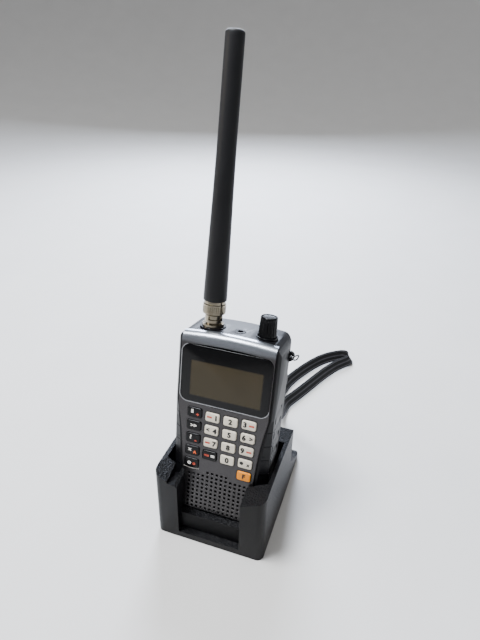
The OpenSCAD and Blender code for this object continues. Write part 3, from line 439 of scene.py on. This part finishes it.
def route_axes(line):
    """Along each point of a line: its heading, the direction across its flat side, and the direction square to both.
    The broad side stands upright, and leans over by up to 42 degrees below 16 mm, where the band lies on the desk."""
    heading = np.gradient(line, axis=0)
    heading /= np.linalg.norm(heading, axis=1)[:, None]
    over = np.clip((16 * MM - line[:, 2:]) / (9 * MM), 0, 1)
    across = np.cross(heading, [0.0, 0.0, 1.0] + over * [-0.62, 0.25, -0.255])
    across /= np.linalg.norm(across, axis=1)[:, None]
    return heading, across, np.cross(across, heading)


def sweep(line, section):
    """Points of a section carried along a line. section is (rows, points, 2): across the line and square to it."""
    _, across, upward = route_axes(line)
    section = np.broadcast_to(section, (len(line),) + section.shape[-2:])
    return line[:, None, :] + section[..., :1] * across[:, None, :] + section[..., 1:] * upward[:, None, :]


def length_along(line):
    """How far along a line each of its points lies: the running sum of the steps between them."""
    return np.concatenate([[0], np.cumsum(np.linalg.norm(np.diff(line, axis=0), axis=1))])


def weave_map(mesh, line, around):
    """A UV map for a swept piece: U is the distance along its line in metres, V the share of the way round."""
    index = corners_of(mesh)
    row = np.minimum(index // around, len(line) - 1)
    uv = np.stack([length_along(line)[row], index % around / around], axis=-1)
    mesh.uv_layers.new(name="weave").data.foreach_set("uv", uv.ravel().astype(np.float32))


# ---- Wrist strap: the tie, the clasp and the band, on the routes that the CAD follows ----

TIE_ROUTE = np.array([
    [24, 54.6, 94.5], [24.8, 53, 100], [26.6, 49.4, 107], [29.2, 44, 114], [31.8, 38, 120.4], [33.9, 32, 125.2],
    [34.7, 28.6, 126.6], [34.9, 26.4, 127], [35, 23.6, 127.6], [35.7, 21.8, 128], [37, 21.2, 128.1],
    [38.3, 21.9, 127.9], [39, 23.7, 127.6], [39, 26.6, 126.9], [38.6, 30.6, 125.6], [37, 35.6, 122.6],
    [34.2, 41.4, 117.4], [30.4, 47.2, 110.6], [27.2, 51.8, 102.6], [25.6, 54.6, 94.5]]) * MM
CLASP_ROUTE = np.array([[24.8, 54.6, 94.5], [24.2, 56.4, 89.5], [23.6, 58.2, 84.5]]) * MM
BAND_ROUTE = np.array([
    [25, 58.2, 84.5], [24.1, 63.5, 70], [22.5, 70.5, 54.5], [20.4, 79, 39.5], [17.8, 88.6, 26.5],
    [15.4, 98.6, 16.4], [13.8, 108.8, 9.6], [13.2, 118.6, 6.2], [14.2, 129, 5.6], [19.4, 141.6, 5.6], [25, 155, 5.6],
    [30.6, 169, 5.6], [36.4, 183, 5.6], [41.8, 194.8, 5.6], [47.4, 205, 5.6], [53, 213, 5.6], [57.2, 218.6, 5.6],
    [58.8, 223.6, 5.6], [56, 227.8, 5.6], [50.6, 228, 5.6], [44, 223.8, 5.6], [37, 217.8, 5.6], [30.4, 210, 5.6],
    [23.8, 199.4, 5.6], [17.6, 187, 5.6], [11.8, 173.4, 5.6], [7.6, 161, 5.6], [5.2, 148, 5.6], [4.6, 135, 6],
    [5.8, 122, 9.4], [8, 110.4, 15.4], [10.6, 99.8, 24], [13.4, 90, 34.6], [16.2, 80.6, 47], [18.9, 71, 62],
    [20.9, 64, 74.5], [22.2, 58.2, 84.5]]) * MM
BAND_W, BAND_T, TIE_DIA = 11 * MM, 1.8 * MM, 1 * MM
BAND_RIBS = 4


def make_clasp():
    """A small plastic sleeve: a squarish oval carried along three points, drawn in at its two ends."""
    line = smooth_route(CLASP_ROUTE, 8)
    angle = np.linspace(0, 2 * math.pi, 40, endpoint=False)
    squareness, half_thick, half_wide = 0.35, 2.5 * MM, 6 * MM
    oval = np.stack([np.sign(np.cos(angle)) * np.abs(np.cos(angle)) ** squareness * half_thick,
                     np.sign(np.sin(angle)) * np.abs(np.sin(angle)) ** squareness * half_wide], axis=-1)
    t = np.linspace(-1, 1, len(line))
    swell = (1 - 0.18 * np.abs(t) ** 6)[:, None, None]
    mesh = grid_mesh("strap_clasp_shell", sweep(line, oval[None] * swell))
    return finish_piece("strap_clasp_shell", mesh, CLASP_PLASTIC, "radio", ["strap_clasp"], 40)


def make_band():
    """Woven band: its half thickness across its width is a rounded edge times one swelling for each rib."""
    line = smooth_route(BAND_ROUTE, 8)
    s = np.cos(np.linspace(0, math.pi, 22))
    rib = 0.78 + 0.22 * np.cos(2 * math.pi * BAND_RIBS * (s + 1) / 2 + math.pi)
    thick = (1 - np.abs(s) ** 10) ** 0.5 * BAND_T / 2 * rib
    near, far = np.stack([thick, s * BAND_W / 2], -1), np.stack([-thick, s * BAND_W / 2], -1)
    section = np.concatenate([near, far[::-1][1:-1]])
    mesh = grid_mesh("strap_band_woven", sweep(line, section[None]))
    weave_map(mesh, line, len(section))
    band = finish_piece("strap_band_woven", mesh, WEBBING, "radio", ["strap_band"], 60)
    return band, line


def make_tie():
    """Two-strand cord: the section is a pair of lobes that turn once every 3 mm along the line."""
    line = smooth_route(TIE_ROUTE, 10)
    angle = np.linspace(0, 2 * math.pi, 16, endpoint=False)
    twist = 2 * math.pi * length_along(line)[:, None] / (3 * MM)
    r = TIE_DIA / 2 * (0.82 + 0.18 * np.cos(2 * (angle[None, :] - twist)))
    section = np.stack([r * np.cos(angle), r * np.sin(angle)], axis=-1)
    mesh = grid_mesh("strap_tie_cord", sweep(line, section))
    weave_map(mesh, line, 16)
    tie = finish_piece("strap_tie_cord", mesh, CORD_BRAID, "radio", ["strap_tie"], 60)
    return tie, line


clasp = make_clasp()
band, band_line = make_band()
tie, tie_line = make_tie()

# ---- Shells, panel, grips and small fittings: the CAD shapes with their corners eased ----

eased("desk_stand", STAND_PLASTIC, 0.55, 3)
eased("front_case", CASE_PLASTIC, 0.35, 3)
eased("back_cover", CASE_PLASTIC, 0.3)
eased("battery_door", DOOR_PLASTIC, 0.25)
eased("face_panel", PANEL_PAINT, 0.2, 2)
eased("left_grip", GRIP_RUBBER, 0.3, 3)
eased("right_grip", GRIP_RUBBER, 0.3, 3)
eased("socket_collar", GLOSS_PLASTIC, 0.2)
eased("knob_collar", GLOSS_PLASTIC, 0.2)
eased("earphone_socket", GLOSS_PLASTIC, 0.12)
eased("antenna_socket", NICKEL, 0.15)
eased("antenna_core", NICKEL, 0.2)
eased("coupling_ring", NICKEL, 0.2)
eased("strap_lug", CASE_PLASTIC, 0.35, 3)


def meet_skin(nodes, starts, aims):
    """Where lines from starts along aims first meet the given CAD nodes, in the radio's axes in mm. Every line is set
    against every triangle at once: u and v are its shares along two of the triangle's edges, and t the way to it."""
    skin = []
    for node in nodes:
        mesh = frame["nodes"][node].data
        skin.append(off_radio(points_of(mesh))[corners_of(mesh)].reshape(-1, 3, 3))
    skin = np.concatenate(skin)
    first, edge_1, edge_2 = skin[:, 0], skin[:, 1] - skin[:, 0], skin[:, 2] - skin[:, 0]
    aim, away = aims[:, None, :], starts[:, None, :] - first
    p, q = np.cross(aim, edge_2), np.cross(away, edge_1)
    with np.errstate(divide="ignore", invalid="ignore"):
        scale = 1 / (edge_1 * p).sum(-1)
        u, v, t = (away * p).sum(-1) * scale, (aim * q).sum(-1) * scale, (edge_2 * q).sum(-1) * scale
        t = np.where((u >= 0) & (v >= 0) & (u + v <= 1) & (t > 0), t, np.inf).min(1)
    return starts + np.where(np.isfinite(t), t, 0)[:, None] * aims


GRIP_SEAMS = (31.6, 40.4, 50.8, 61.2, 71.6)


def make_grip_ribs(side):
    """Fine moulded ribs that carry the grip's grooves round onto the face's shoulder. Each runs over the skin at one
    height, where lines at the angle a, from nearly straight in to nearly sideways, meet it, and it dips by
    1.6 (1 - cos a). Its section is an oval 0.44 by 0.6 mm, half sunk in the skin."""
    angle = np.radians(np.linspace(12, 84, 13))
    around = np.linspace(0, 2 * math.pi, 8, endpoint=False)[None, :, None]
    aim = np.stack([-side * np.sin(angle), np.cos(angle), 0 * angle], -1)
    for number, seam in enumerate(GRIP_SEAMS):
        h = seam - 1.6 * (1 - np.cos(angle))
        middle = np.stack([side * (24 + 0 * angle), 12 + 0 * angle, h], -1)
        skin = meet_skin(["front_case", "right_grip" if side > 0 else "left_grip"], middle - 30 * aim, aim)
        skin = skin[(np.abs(skin[:, 0]) > 28.0) & (skin[:, 1] < 12)][:, None, :]
        points = skin - 0.22 * np.cos(around) * aim[: len(skin), None] + 0.3 * np.sin(around) * np.array([0, 0, 1.0])
        name = "grip_rib_%s_%d" % ("right" if side > 0 else "left", number)
        finish_piece(name, grid_mesh(name, on_radio(points)), GLOSS_PLASTIC, "radio", (), 60)


for rib_side in (-1, 1):
    make_grip_ribs(rib_side)

# ---- Display window ----

LENS_LOW, LENS_HIGH = span("display_window")
LENS_HALF_W, LENS_HALF_H = (LENS_HIGH[0] - LENS_LOW[0]) / 2, (LENS_HIGH[2] - LENS_LOW[2]) / 2
LENS_MID_H = (LENS_HIGH[2] + LENS_LOW[2]) / 2
LENS_R, LENS_BOW, LENS_SMILE = 5.0, 1.8, 1.3


def lens_outline(out, per_corner=12):
    """The window's outline in x and h, grown by out: a round rectangle whose top falls by LENS_BOW and whose foot
    rises by LENS_SMILE as the square of the way out to the side."""
    flat = round_rectangle(LENS_HALF_W + out, LENS_HALF_H + out, LENS_R + out, per_corner)
    share = (flat[:, 0] / LENS_HALF_W) ** 2
    up = (flat[:, 1] / LENS_HALF_H + 1) / 2
    bend = -LENS_BOW * share * up + LENS_SMILE * share * (1 - up)
    return np.stack([flat[:, 0], LENS_MID_H + flat[:, 1] + bend], axis=-1)


def spread_outline(outline, most_mm):
    """The same outline with points no further than most_mm apart."""
    closed = np.concatenate([outline, outline[:1]])
    along = length_along(closed)
    at = np.linspace(0, along[-1], int(along[-1] / most_mm) + 1)[:-1]
    return np.stack([np.interp(at, along, closed[:, k]) for k in range(2)], axis=-1)


def make_window():
    """A flat pane: the outline drawn in over a rounded edge, then closed across the front and the back."""
    ease, front, back = 0.4, LENS_LOW[1], LENS_HIGH[1]
    edge = [(0.0, back), (0.0, front + ease)]
    edge += [(ease - ease * math.cos(a), front + ease - ease * math.sin(a)) for a in np.radians([22.5, 45, 67.5, 90])]
    rows = []
    for inset, depth in edge:
        ring = spread_outline(lens_outline(-inset), 1.2) if not rows else lens_ring(rows[0], inset)
        rows.append(np.stack([ring[:, 0], np.full(len(ring), depth), ring[:, 1]], axis=-1))
    mesh = grid_mesh("display_window_pane", on_radio(np.array(rows)))
    return finish_piece("display_window_pane", mesh, WINDOW, "radio", ["display_window"], 40)


def lens_ring(row, inset):
    """A ring of the pane drawn towards the middle by inset, keeping its points in step with the first ring's."""
    ring = row[:, [0, 2]]
    ahead = np.roll(ring, -1, axis=0) - np.roll(ring, 1, axis=0)
    inward = np.stack([-ahead[:, 1], ahead[:, 0]], axis=-1)
    return ring + inset * inward / np.linalg.norm(inward, axis=1)[:, None]


def ribbon(outline, width, low_d, high_d, closed):
    """A flat strip along an outline in x and h: width across, from depth low_d to high_d, as rows round its section."""
    ahead = np.gradient(outline, axis=0)
    if closed:
        ahead = np.roll(outline, -1, axis=0) - np.roll(outline, 1, axis=0)
    side = np.stack([-ahead[:, 1], ahead[:, 0]], axis=-1)
    side *= width / 2 / np.linalg.norm(side, axis=1)[:, None]
    ring = [(1, high_d), (1, low_d), (-1, low_d), (-1, high_d)]
    x, h = outline.T
    rows = [np.stack([x + k * side[:, 0], np.full(len(x), depth), h + k * side[:, 1]], -1) for k, depth in ring]
    return np.moveaxis(np.array(rows), 0, 1)


def make_painted_highlight_strip():
    """A painted highlight: a bright metal strip round the window's sides and foot, where the opening's edge catches the
    light, open along its top, where that edge stays dark.
    """
    loop = lens_outline(0.15)
    count = len(loop)
    start = count // 4 + 2
    loop = np.roll(loop, -start, axis=0)[: count * 3 // 4 + 2 - 4]
    mesh = grid_mesh("window_painted_highlight_strip", on_radio(ribbon(loop, 0.42, -0.06, 0.3, False)))
    return finish_piece("window_painted_highlight_strip", mesh, HIGHLIGHT_STRIP_METAL, "radio", (), 30)


make_window()
make_painted_highlight_strip()

# ---- Keys ----

# Corner radius, eased rim, fall of the dome at its rim, and the flange's reach and thickness behind the face
KEY_R, KEY_EASE, KEY_DOME, KEY_FLANGE, KEY_FLANGE_T = 1.3, 0.55, 0.12, 0.5, 0.75
KEY_FINISH = {"light": (KEY_LIGHT, "key_light"), "dark": (KEY_DARK, "key_dark"), "accent": (KEY_ACCENT, "key_accent")}
DARK_KEYS = ("key_hold", "key_scan", "key_search", "key_lockout", "key_power", "key_enter")
KEYS = sorted(node for node in frame["nodes"] if node.startswith("key_"))


def key_kind(node):
    """Which of the three finishes a key has."""
    return "dark" if node in DARK_KEYS else "accent" if node == "key_function" else "light"


def key_place(node):
    """(x, h, half width, half height, depth of the front, depth of the back) of a key's cap, without its flange."""
    low, high = span(node)
    return ((low[0] + high[0]) / 2, (low[2] + high[2]) / 2, (high[0] - low[0]) / 2 - KEY_FLANGE,
            (high[2] - low[2]) / 2 - KEY_FLANGE, low[1], high[1])


def make_key(node):
    """A cap with eased edges and a low dome: rings of the outline drawn in along a quarter circle at the rim, then in
    equal steps to the middle, where the depth is the front plus KEY_DOME times the squared distance out."""
    x, h, half_w, half_h, front, back = key_place(node)
    flange_d = back - KEY_FLANGE_T
    rings = [(-KEY_FLANGE, back), (-KEY_FLANGE, flange_d), (0, flange_d), (0, front + KEY_DOME + KEY_EASE)]
    rings += [(KEY_EASE * (1 - math.cos(a)), front + KEY_DOME + KEY_EASE * (1 - math.sin(a)))
              for a in np.radians([15, 35, 55, 75, 90])]
    rows = []
    for inset, depth in rings:
        ring = round_rectangle(half_w - inset, half_h - inset, max(0.4, KEY_R - inset), 9)
        rows.append(np.stack([x + ring[:, 0], np.full(len(ring), depth), h + ring[:, 1]], -1))
    flat = rows[-1]
    for share in (0.8, 0.55, 0.3, 0.0):
        ring = flat.copy()
        ring[:, 0] = x + (flat[:, 0] - x) * share
        ring[:, 2] = h + (flat[:, 2] - h) * share
        ring[:, 1] = front + KEY_DOME * share**2
        rows.append(ring)
    material, slot = KEY_FINISH[key_kind(node)]
    mesh = grid_mesh(node + "_cap", on_radio(np.array(rows)))
    return finish_piece(node + "_cap", mesh, material, BODY_OF[node], [node], 50)


# A mark is laid this many times, at these shares of its size across and up, to make it bold
BOLD_STEPS = ((-0.045, 0), (0, 0.03), (0, 0), (0, -0.03), (0.045, 0))
INK_PROUD = 0.035


def legend(name, node, marks):
    """Printed marks on a key: each is (text, x, h, size, material) from the key's middle in mm. It is laid on the
    dome, whose depth is the front plus KEY_DOME times the squared distance out, and stands INK_PROUD over it."""
    x0, h0, half_w, half_h, front, _ = key_place(node)
    inks = list(dict.fromkeys(mark[4] for mark in marks))
    shape = bmesh.new()
    for text, x, h, size, ink in marks:
        for across, up in BOLD_STEPS:
            curve = bpy.data.curves.new(name, "FONT")
            curve.body, curve.size = text, size * MM
            curve.align_x, curve.align_y = "CENTER", "CENTER"
            curve.extrude, curve.offset = 0.03 * MM, 0.08 * MM
            holder = bpy.data.objects.new(name, curve)
            flat = bpy.data.meshes.new_from_object(holder)
            co = points_of(flat) / MM
            px, ph = x + across * size + co[:, 0], h + up * size + co[:, 1]
            out = np.maximum(np.abs(px) / half_w, np.abs(ph) / half_h)
            depth = front + KEY_DOME * out**2 - INK_PROUD - co[:, 2]
            laid = on_radio(np.stack([x0 + px, depth, h0 + ph], -1))
            flat.vertices.foreach_set("co", laid.ravel().astype(np.float32))
            flat.polygons.foreach_set("material_index", np.full(len(flat.polygons), inks.index(ink), np.int32))
            shape.from_mesh(flat)
            bpy.data.objects.remove(holder)
            bpy.data.curves.remove(curve)
            bpy.data.meshes.remove(flat)
    mesh = bpy.data.meshes.new(name)
    bmesh.ops.remove_doubles(shape, verts=shape.verts, dist=1e-8)
    bmesh.ops.recalc_face_normals(shape, faces=shape.faces)
    shape.to_mesh(mesh)
    shape.free()
    piece = finish_piece(name, mesh, inks[0], BODY_OF[node], (), 30)
    for ink in inks[1:]:
        mesh.materials.append(ink)
    return piece


def make_painted_gap_shade(node):
    """Painted shade round a pale key: a dark closed strip just outside its opening, as wide as it is far out, standing
    in for the shaded gap at its edge; it takes the black ink.
    """
    x, h, half_w, half_h, _, _ = key_place(node)
    out = 0.55
    line = spread_outline(round_rectangle(half_w + out, half_h + out, KEY_R + 0.5, 8), 0.9) + [x, h]
    mesh = grid_mesh(node + "_painted_gap_shade", on_radio(ribbon(line, out, -0.03, 0.1, True)), wrap_rows=True)
    return finish_piece(node + "_painted_gap_shade", mesh, INK_BLACK, "radio", (), 30)


# Each key's marks: digits and arrows, and plain signs in place of words
K, W, R, O = INK_BLACK, INK_WHITE, INK_RED, INK_ORANGE
LEGENDS = {
    "key_1": [("1", 2.6, 0, 4.9, K), ("==", -1.9, 0.1, 2.9, R)],
    "key_2": [("2", 0, 0, 4.9, K)],
    "key_3": [("3", -2.6, 0, 4.9, K), ("==", 1.9, -0.1, 2.9, R)],
    "key_4": [("4", 2.4, 0, 4.9, K), ("<", -2.4, 0.2, 4.2, K)],
    "key_5": [("5", 0, 0, 4.9, K)],
    "key_6": [("6", -2.4, 0, 4.9, K), (">", 2.4, 0.2, 4.2, K)],
    "key_7": [("7", 2.6, 0, 4.9, K), ("==", -1.9, 0.1, 2.9, R)],
    "key_8": [("8", 0, 0, 4.9, K)],
    "key_9": [("9", -2.6, 0, 4.9, K), ("==", 1.9, -0.1, 2.9, R)],
    "key_0": [("0", 0, 0, 4.9, K)],
    "key_dot": [("\u2022", -2.3, 0.1, 7.5, K), ("x", 2.2, 0, 3.2, K)],
    "key_enter": [("=", 2.4, 0, 4.6, W), ("==", -1.9, 0, 2.9, R)],
    "key_hold": [("II", -1.6, 0.8, 3.4, W), ("+", 2.2, -1.0, 3.4, R)],
    "key_scan": [(">>", 0, 0, 3.6, W)],
    "key_search": [("?", -1.6, 0.6, 3.8, W), ("-", 2.0, -1.2, 4.0, R)],
    "key_lockout": [("x", -1.6, 0.9, 3.8, W), ("^", 2.0, -1.6, 4.6, O)],
    "key_power": [("o", -1.4, 0.2, 4.4, W), ("o", 2.0, 0, 3.4, R)],
    "key_function": [("F", 0, 0, 4.4, K)],
}

for key_node in KEYS:
    make_key(key_node)
    legend(key_node + "_legend", key_node, LEGENDS[key_node])
    # Pale keys get a dark strip of painted shade round their openings
    if key_kind(key_node) != "dark":
        make_painted_gap_shade(key_node)

# ---- Antenna, coupling and knob ----

RUBBER_LOW, RUBBER_HIGH = span("antenna_rubber")
ANTENNA_X, ANTENNA_D = (RUBBER_LOW[0] + RUBBER_HIGH[0]) / 2, (RUBBER_LOW[1] + RUBBER_HIGH[1]) / 2
RING_LOW, RING_HIGH = span("coupling_ring")
KNOB_LOW, KNOB_HIGH = span("knob")


def make_antenna():
    """A sleeve that narrows quickly to two fifths of its length and slowly above it, with a round tip."""
    foot, tip = (RUBBER_HIGH[0] - RUBBER_LOW[0]) / 2, 5.55
    low, high = RUBBER_LOW[2], RUBBER_HIGH[2]
    long = high - low
    share = np.linspace(0, 1, 40)
    radius = np.interp(share, [0, 0.02, 0.41, 0.6, 1], [foot, foot, foot - 1.2, tip + 0.25, tip])
    keep = (share > 0.01) & (share < 0.985)
    body = np.stack([radius[keep], low + share[keep] * long], axis=-1).tolist()
    profile = [[0, low], [foot - 0.6, low]] + corner(foot - 0.6, low + 0.6, 0.6, -90, 0, 5)[1:] + body
    profile += corner(tip - 1.8, high - 1.8, 1.8, 0, 80, 8) + [[tip - 2.6, high - 0.1], [0, high]]
    mesh = grid_mesh("antenna_sleeve", turned(ANTENNA_X, ANTENNA_D, profile, 64))
    return finish_piece("antenna_sleeve", mesh, ANTENNA_RUBBER, "antenna", ["antenna_rubber"], 40)


def make_knurl():
    """The gripping band of the coupling ring: teeth round its edge, a cosine raised to a flat-topped shape."""
    teeth, top = 36, RING_HIGH[2]
    r = (RING_HIGH[0] - RING_LOW[0]) / 2
    low = top - 5.4
    profile = [[r - 0.6, low], [r, low + 0.1], [r + 0.08, low + 0.35], [r + 0.08, top - 1.25], [r, top - 1.0],
               [r - 0.6, top - 0.9]]
    toothed = np.array([0, 0.4, 1, 1, 0.4, 0])[:, None]

    def shape(angle, row):
        """Teeth: a clipped cosine, cut below the ring's radius."""
        wave = np.clip(np.cos(teeth * angle) * 1.6, -1, 1)
        return 1 + 0.022 * (wave - 1) * toothed

    points = turned(ANTENNA_X, ANTENNA_D, profile, teeth * 8, shape)
    mesh = grid_mesh("coupling_knurl", points, wrap_rows=True)
    return finish_piece("coupling_knurl", mesh, DARK_KNURL_NICKEL, "coupling", (), 40)


def make_knob():
    """A tapered knob with flutes: the radius falls along h, and narrow grooves, a cosine to a high power, run up it
    and fade out under a bevelled rim round a shallow dished top."""
    flutes = 18
    r0 = (KNOB_HIGH[0] - KNOB_LOW[0]) / 2
    low, high = KNOB_LOW[2], KNOB_HIGH[2]
    r1, tall = 5.4, high - low
    side = [[r0 + (r1 - r0) * t, low + tall * t] for t in np.linspace(0.03, 0.93, 14)]
    profile = [[0, low + 0.9], [3.8, low + 0.9], [3.8, low], [r0 - 0.4, low]] + side
    profile += [[r1 - 0.1, high - 0.35], [r1 - 0.5, high], [r1 - 0.85, high - 0.05], [r1 - 1.05, high - 0.5],
                [r1 - 2.2, high - 0.62], [0, high - 0.6]]
    cut = np.zeros(len(profile))
    rise, fade = np.clip(np.linspace(0, 5, len(side)), 0.3, 1), np.clip(np.linspace(6, 0, len(side)), 0, 1)
    cut[4 : 4 + len(side)] = rise * fade

    def shape(angle, row):
        """Flutes: a raised cosine to the third power, cut in by up to 8.5 per cent of the radius."""
        groove = ((1 + np.cos(flutes * angle)) / 2) ** 3
        return 1 - 0.085 * groove * cut[:, None]

    x, d = (KNOB_LOW[0] + KNOB_HIGH[0]) / 2, (KNOB_LOW[1] + KNOB_HIGH[1]) / 2
    mesh = grid_mesh("volume_knob_fluted", turned(x, d, profile, flutes * 12, shape))
    return finish_piece("volume_knob_fluted", mesh, KNOB_PLASTIC, "volume_knob", ["knob"], 30)


make_antenna()
make_knurl()
make_knob()

# ---- Marks on the panel ----


def make_power_arc():
    """The pale arc that cups the lowest corner key: a shallow parabola below it."""
    x, h, half_w, half_h, _, _ = key_place("key_power")
    t = np.linspace(-1, 1, 24)
    line = np.stack([x + t * (half_w + 0.5), h - half_h - 0.95 + 0.55 * t**2], axis=-1)
    mesh = grid_mesh("power_key_arc", on_radio(ribbon(line, 0.4, -0.05, 0.1, False)))
    return finish_piece("power_key_arc", mesh, INK_WHITE, "radio", (), 30)


make_power_arc()

# ---- The remaining CAD nodes keep their shape and take their real finishes ----

FINISHES = {
    "screen": (SCREEN_GLASS, "screen_glass"), "screen_frame": (FRAME_PLASTIC, "frame_plastic"),
    "main_board": (LAMINATE, "board_laminate"), "keypad_mat": (MAT_RUBBER, "mat_rubber"),
    "speaker": (SPEAKER_PAPER, "speaker_parts"), "speaker_mesh": (MESH_CLOTH, "mesh_cloth"),
    "knob_shaft": (POT_METAL, "pot_metal"), "volume_control": (POT_METAL, "pot_metal"),
    "cable_socket": (STEEL, "socket_steel"), "battery_cells": (CELL_JACKET, "cell_jacket"),
    "battery_contacts": (SPRING_STEEL, "contact_steel"), "case_screws": (STEEL, "screw_steel"),
}

for plain_node, (finish, slot_name) in FINISHES.items():
    shown = frame["nodes"][plain_node]
    shown.data.materials.clear()
    shown.data.materials.append(finish)

# ---- Floor and light ----


def make_floor():
    """A round pale floor that turns up into a wall: flat to 1.2 m, then a quarter circle of 1.4 m, then upright."""
    bend = np.radians(np.linspace(0, 90, 19))
    radius = np.concatenate([[0, 0.4], 1.2 + 1.4 * np.sin(bend), [2.6]])[:, None]
    height = np.concatenate([[0, 0], 1.4 - 1.4 * np.cos(bend), [2.2]])[:, None]
    angle = np.linspace(0, 2 * math.pi, 96, endpoint=False)[None, :]
    points = np.stack([radius * np.cos(angle), radius * np.sin(angle), height + 0 * angle - 0.0002], axis=-1)
    mesh = bpy.data.meshes.new("floor")
    mesh.from_pydata(points.reshape(-1, 3).tolist(), [], quads(len(radius), 96, False, True).tolist())
    mesh.shade_smooth()
    made, tree, shader = new_material("paper_pale_floor", Roughness=0.75)
    clouds = add(tree, NOISE, {"Vector": add(tree, COORDS, out="Object"), "Scale": 1 / (60 * MM), "Detail": 3})
    add(tree, MIX, {0: clouds, 6: linear("#c6c4c1"), 7: linear("#cdcbc8")}, shader["Base Color"], 2, data_type="RGBA")
    mesh.materials.append(made)
    floor = bpy.data.objects.new("floor", mesh)
    bpy.context.scene.collection.objects.link(floor)


def soft_light(name, place, aim, size, watts, colour):
    """A square area light of that size in metres, at place and facing aim."""
    lamp = bpy.data.lights.new(name, "AREA")
    lamp.size, lamp.energy, lamp.color = size, watts, linear(colour)[:3]
    holder = bpy.data.objects.new(name, lamp)
    bpy.context.scene.collection.objects.link(holder)
    holder.location = place
    holder.rotation_euler = (Vector(aim) - Vector(place)).to_track_quat("-Z", "Y").to_euler()


def make_world():
    """Pale even surroundings."""
    world = bpy.data.worlds.new("studio")
    world.use_nodes = True
    sockets = world.node_tree.nodes["Background"].inputs
    sockets["Color"].default_value, sockets["Strength"].default_value = linear("#d5d6d8"), 0.16
    bpy.context.scene.world = world


make_floor()
make_world()
soft_light("window_behind", (-0.34, 1.0, 0.68), (0, 0, 0.08), 0.45, 40, "#e2ecff")
soft_light("lamp_overhead", (-0.34, -0.18, 1.2), (0, 0, 0.1), 0.4, 34, "#f6faff")
soft_light("ceiling", (0.25, 0.1, 1.35), (0, 0, 0), 0.8, 6, "#ffffff")
soft_light("room_left", (-1.0, -0.35, 0.6), (0, 0, 0.1), 0.4, 4, "#fff4e8")
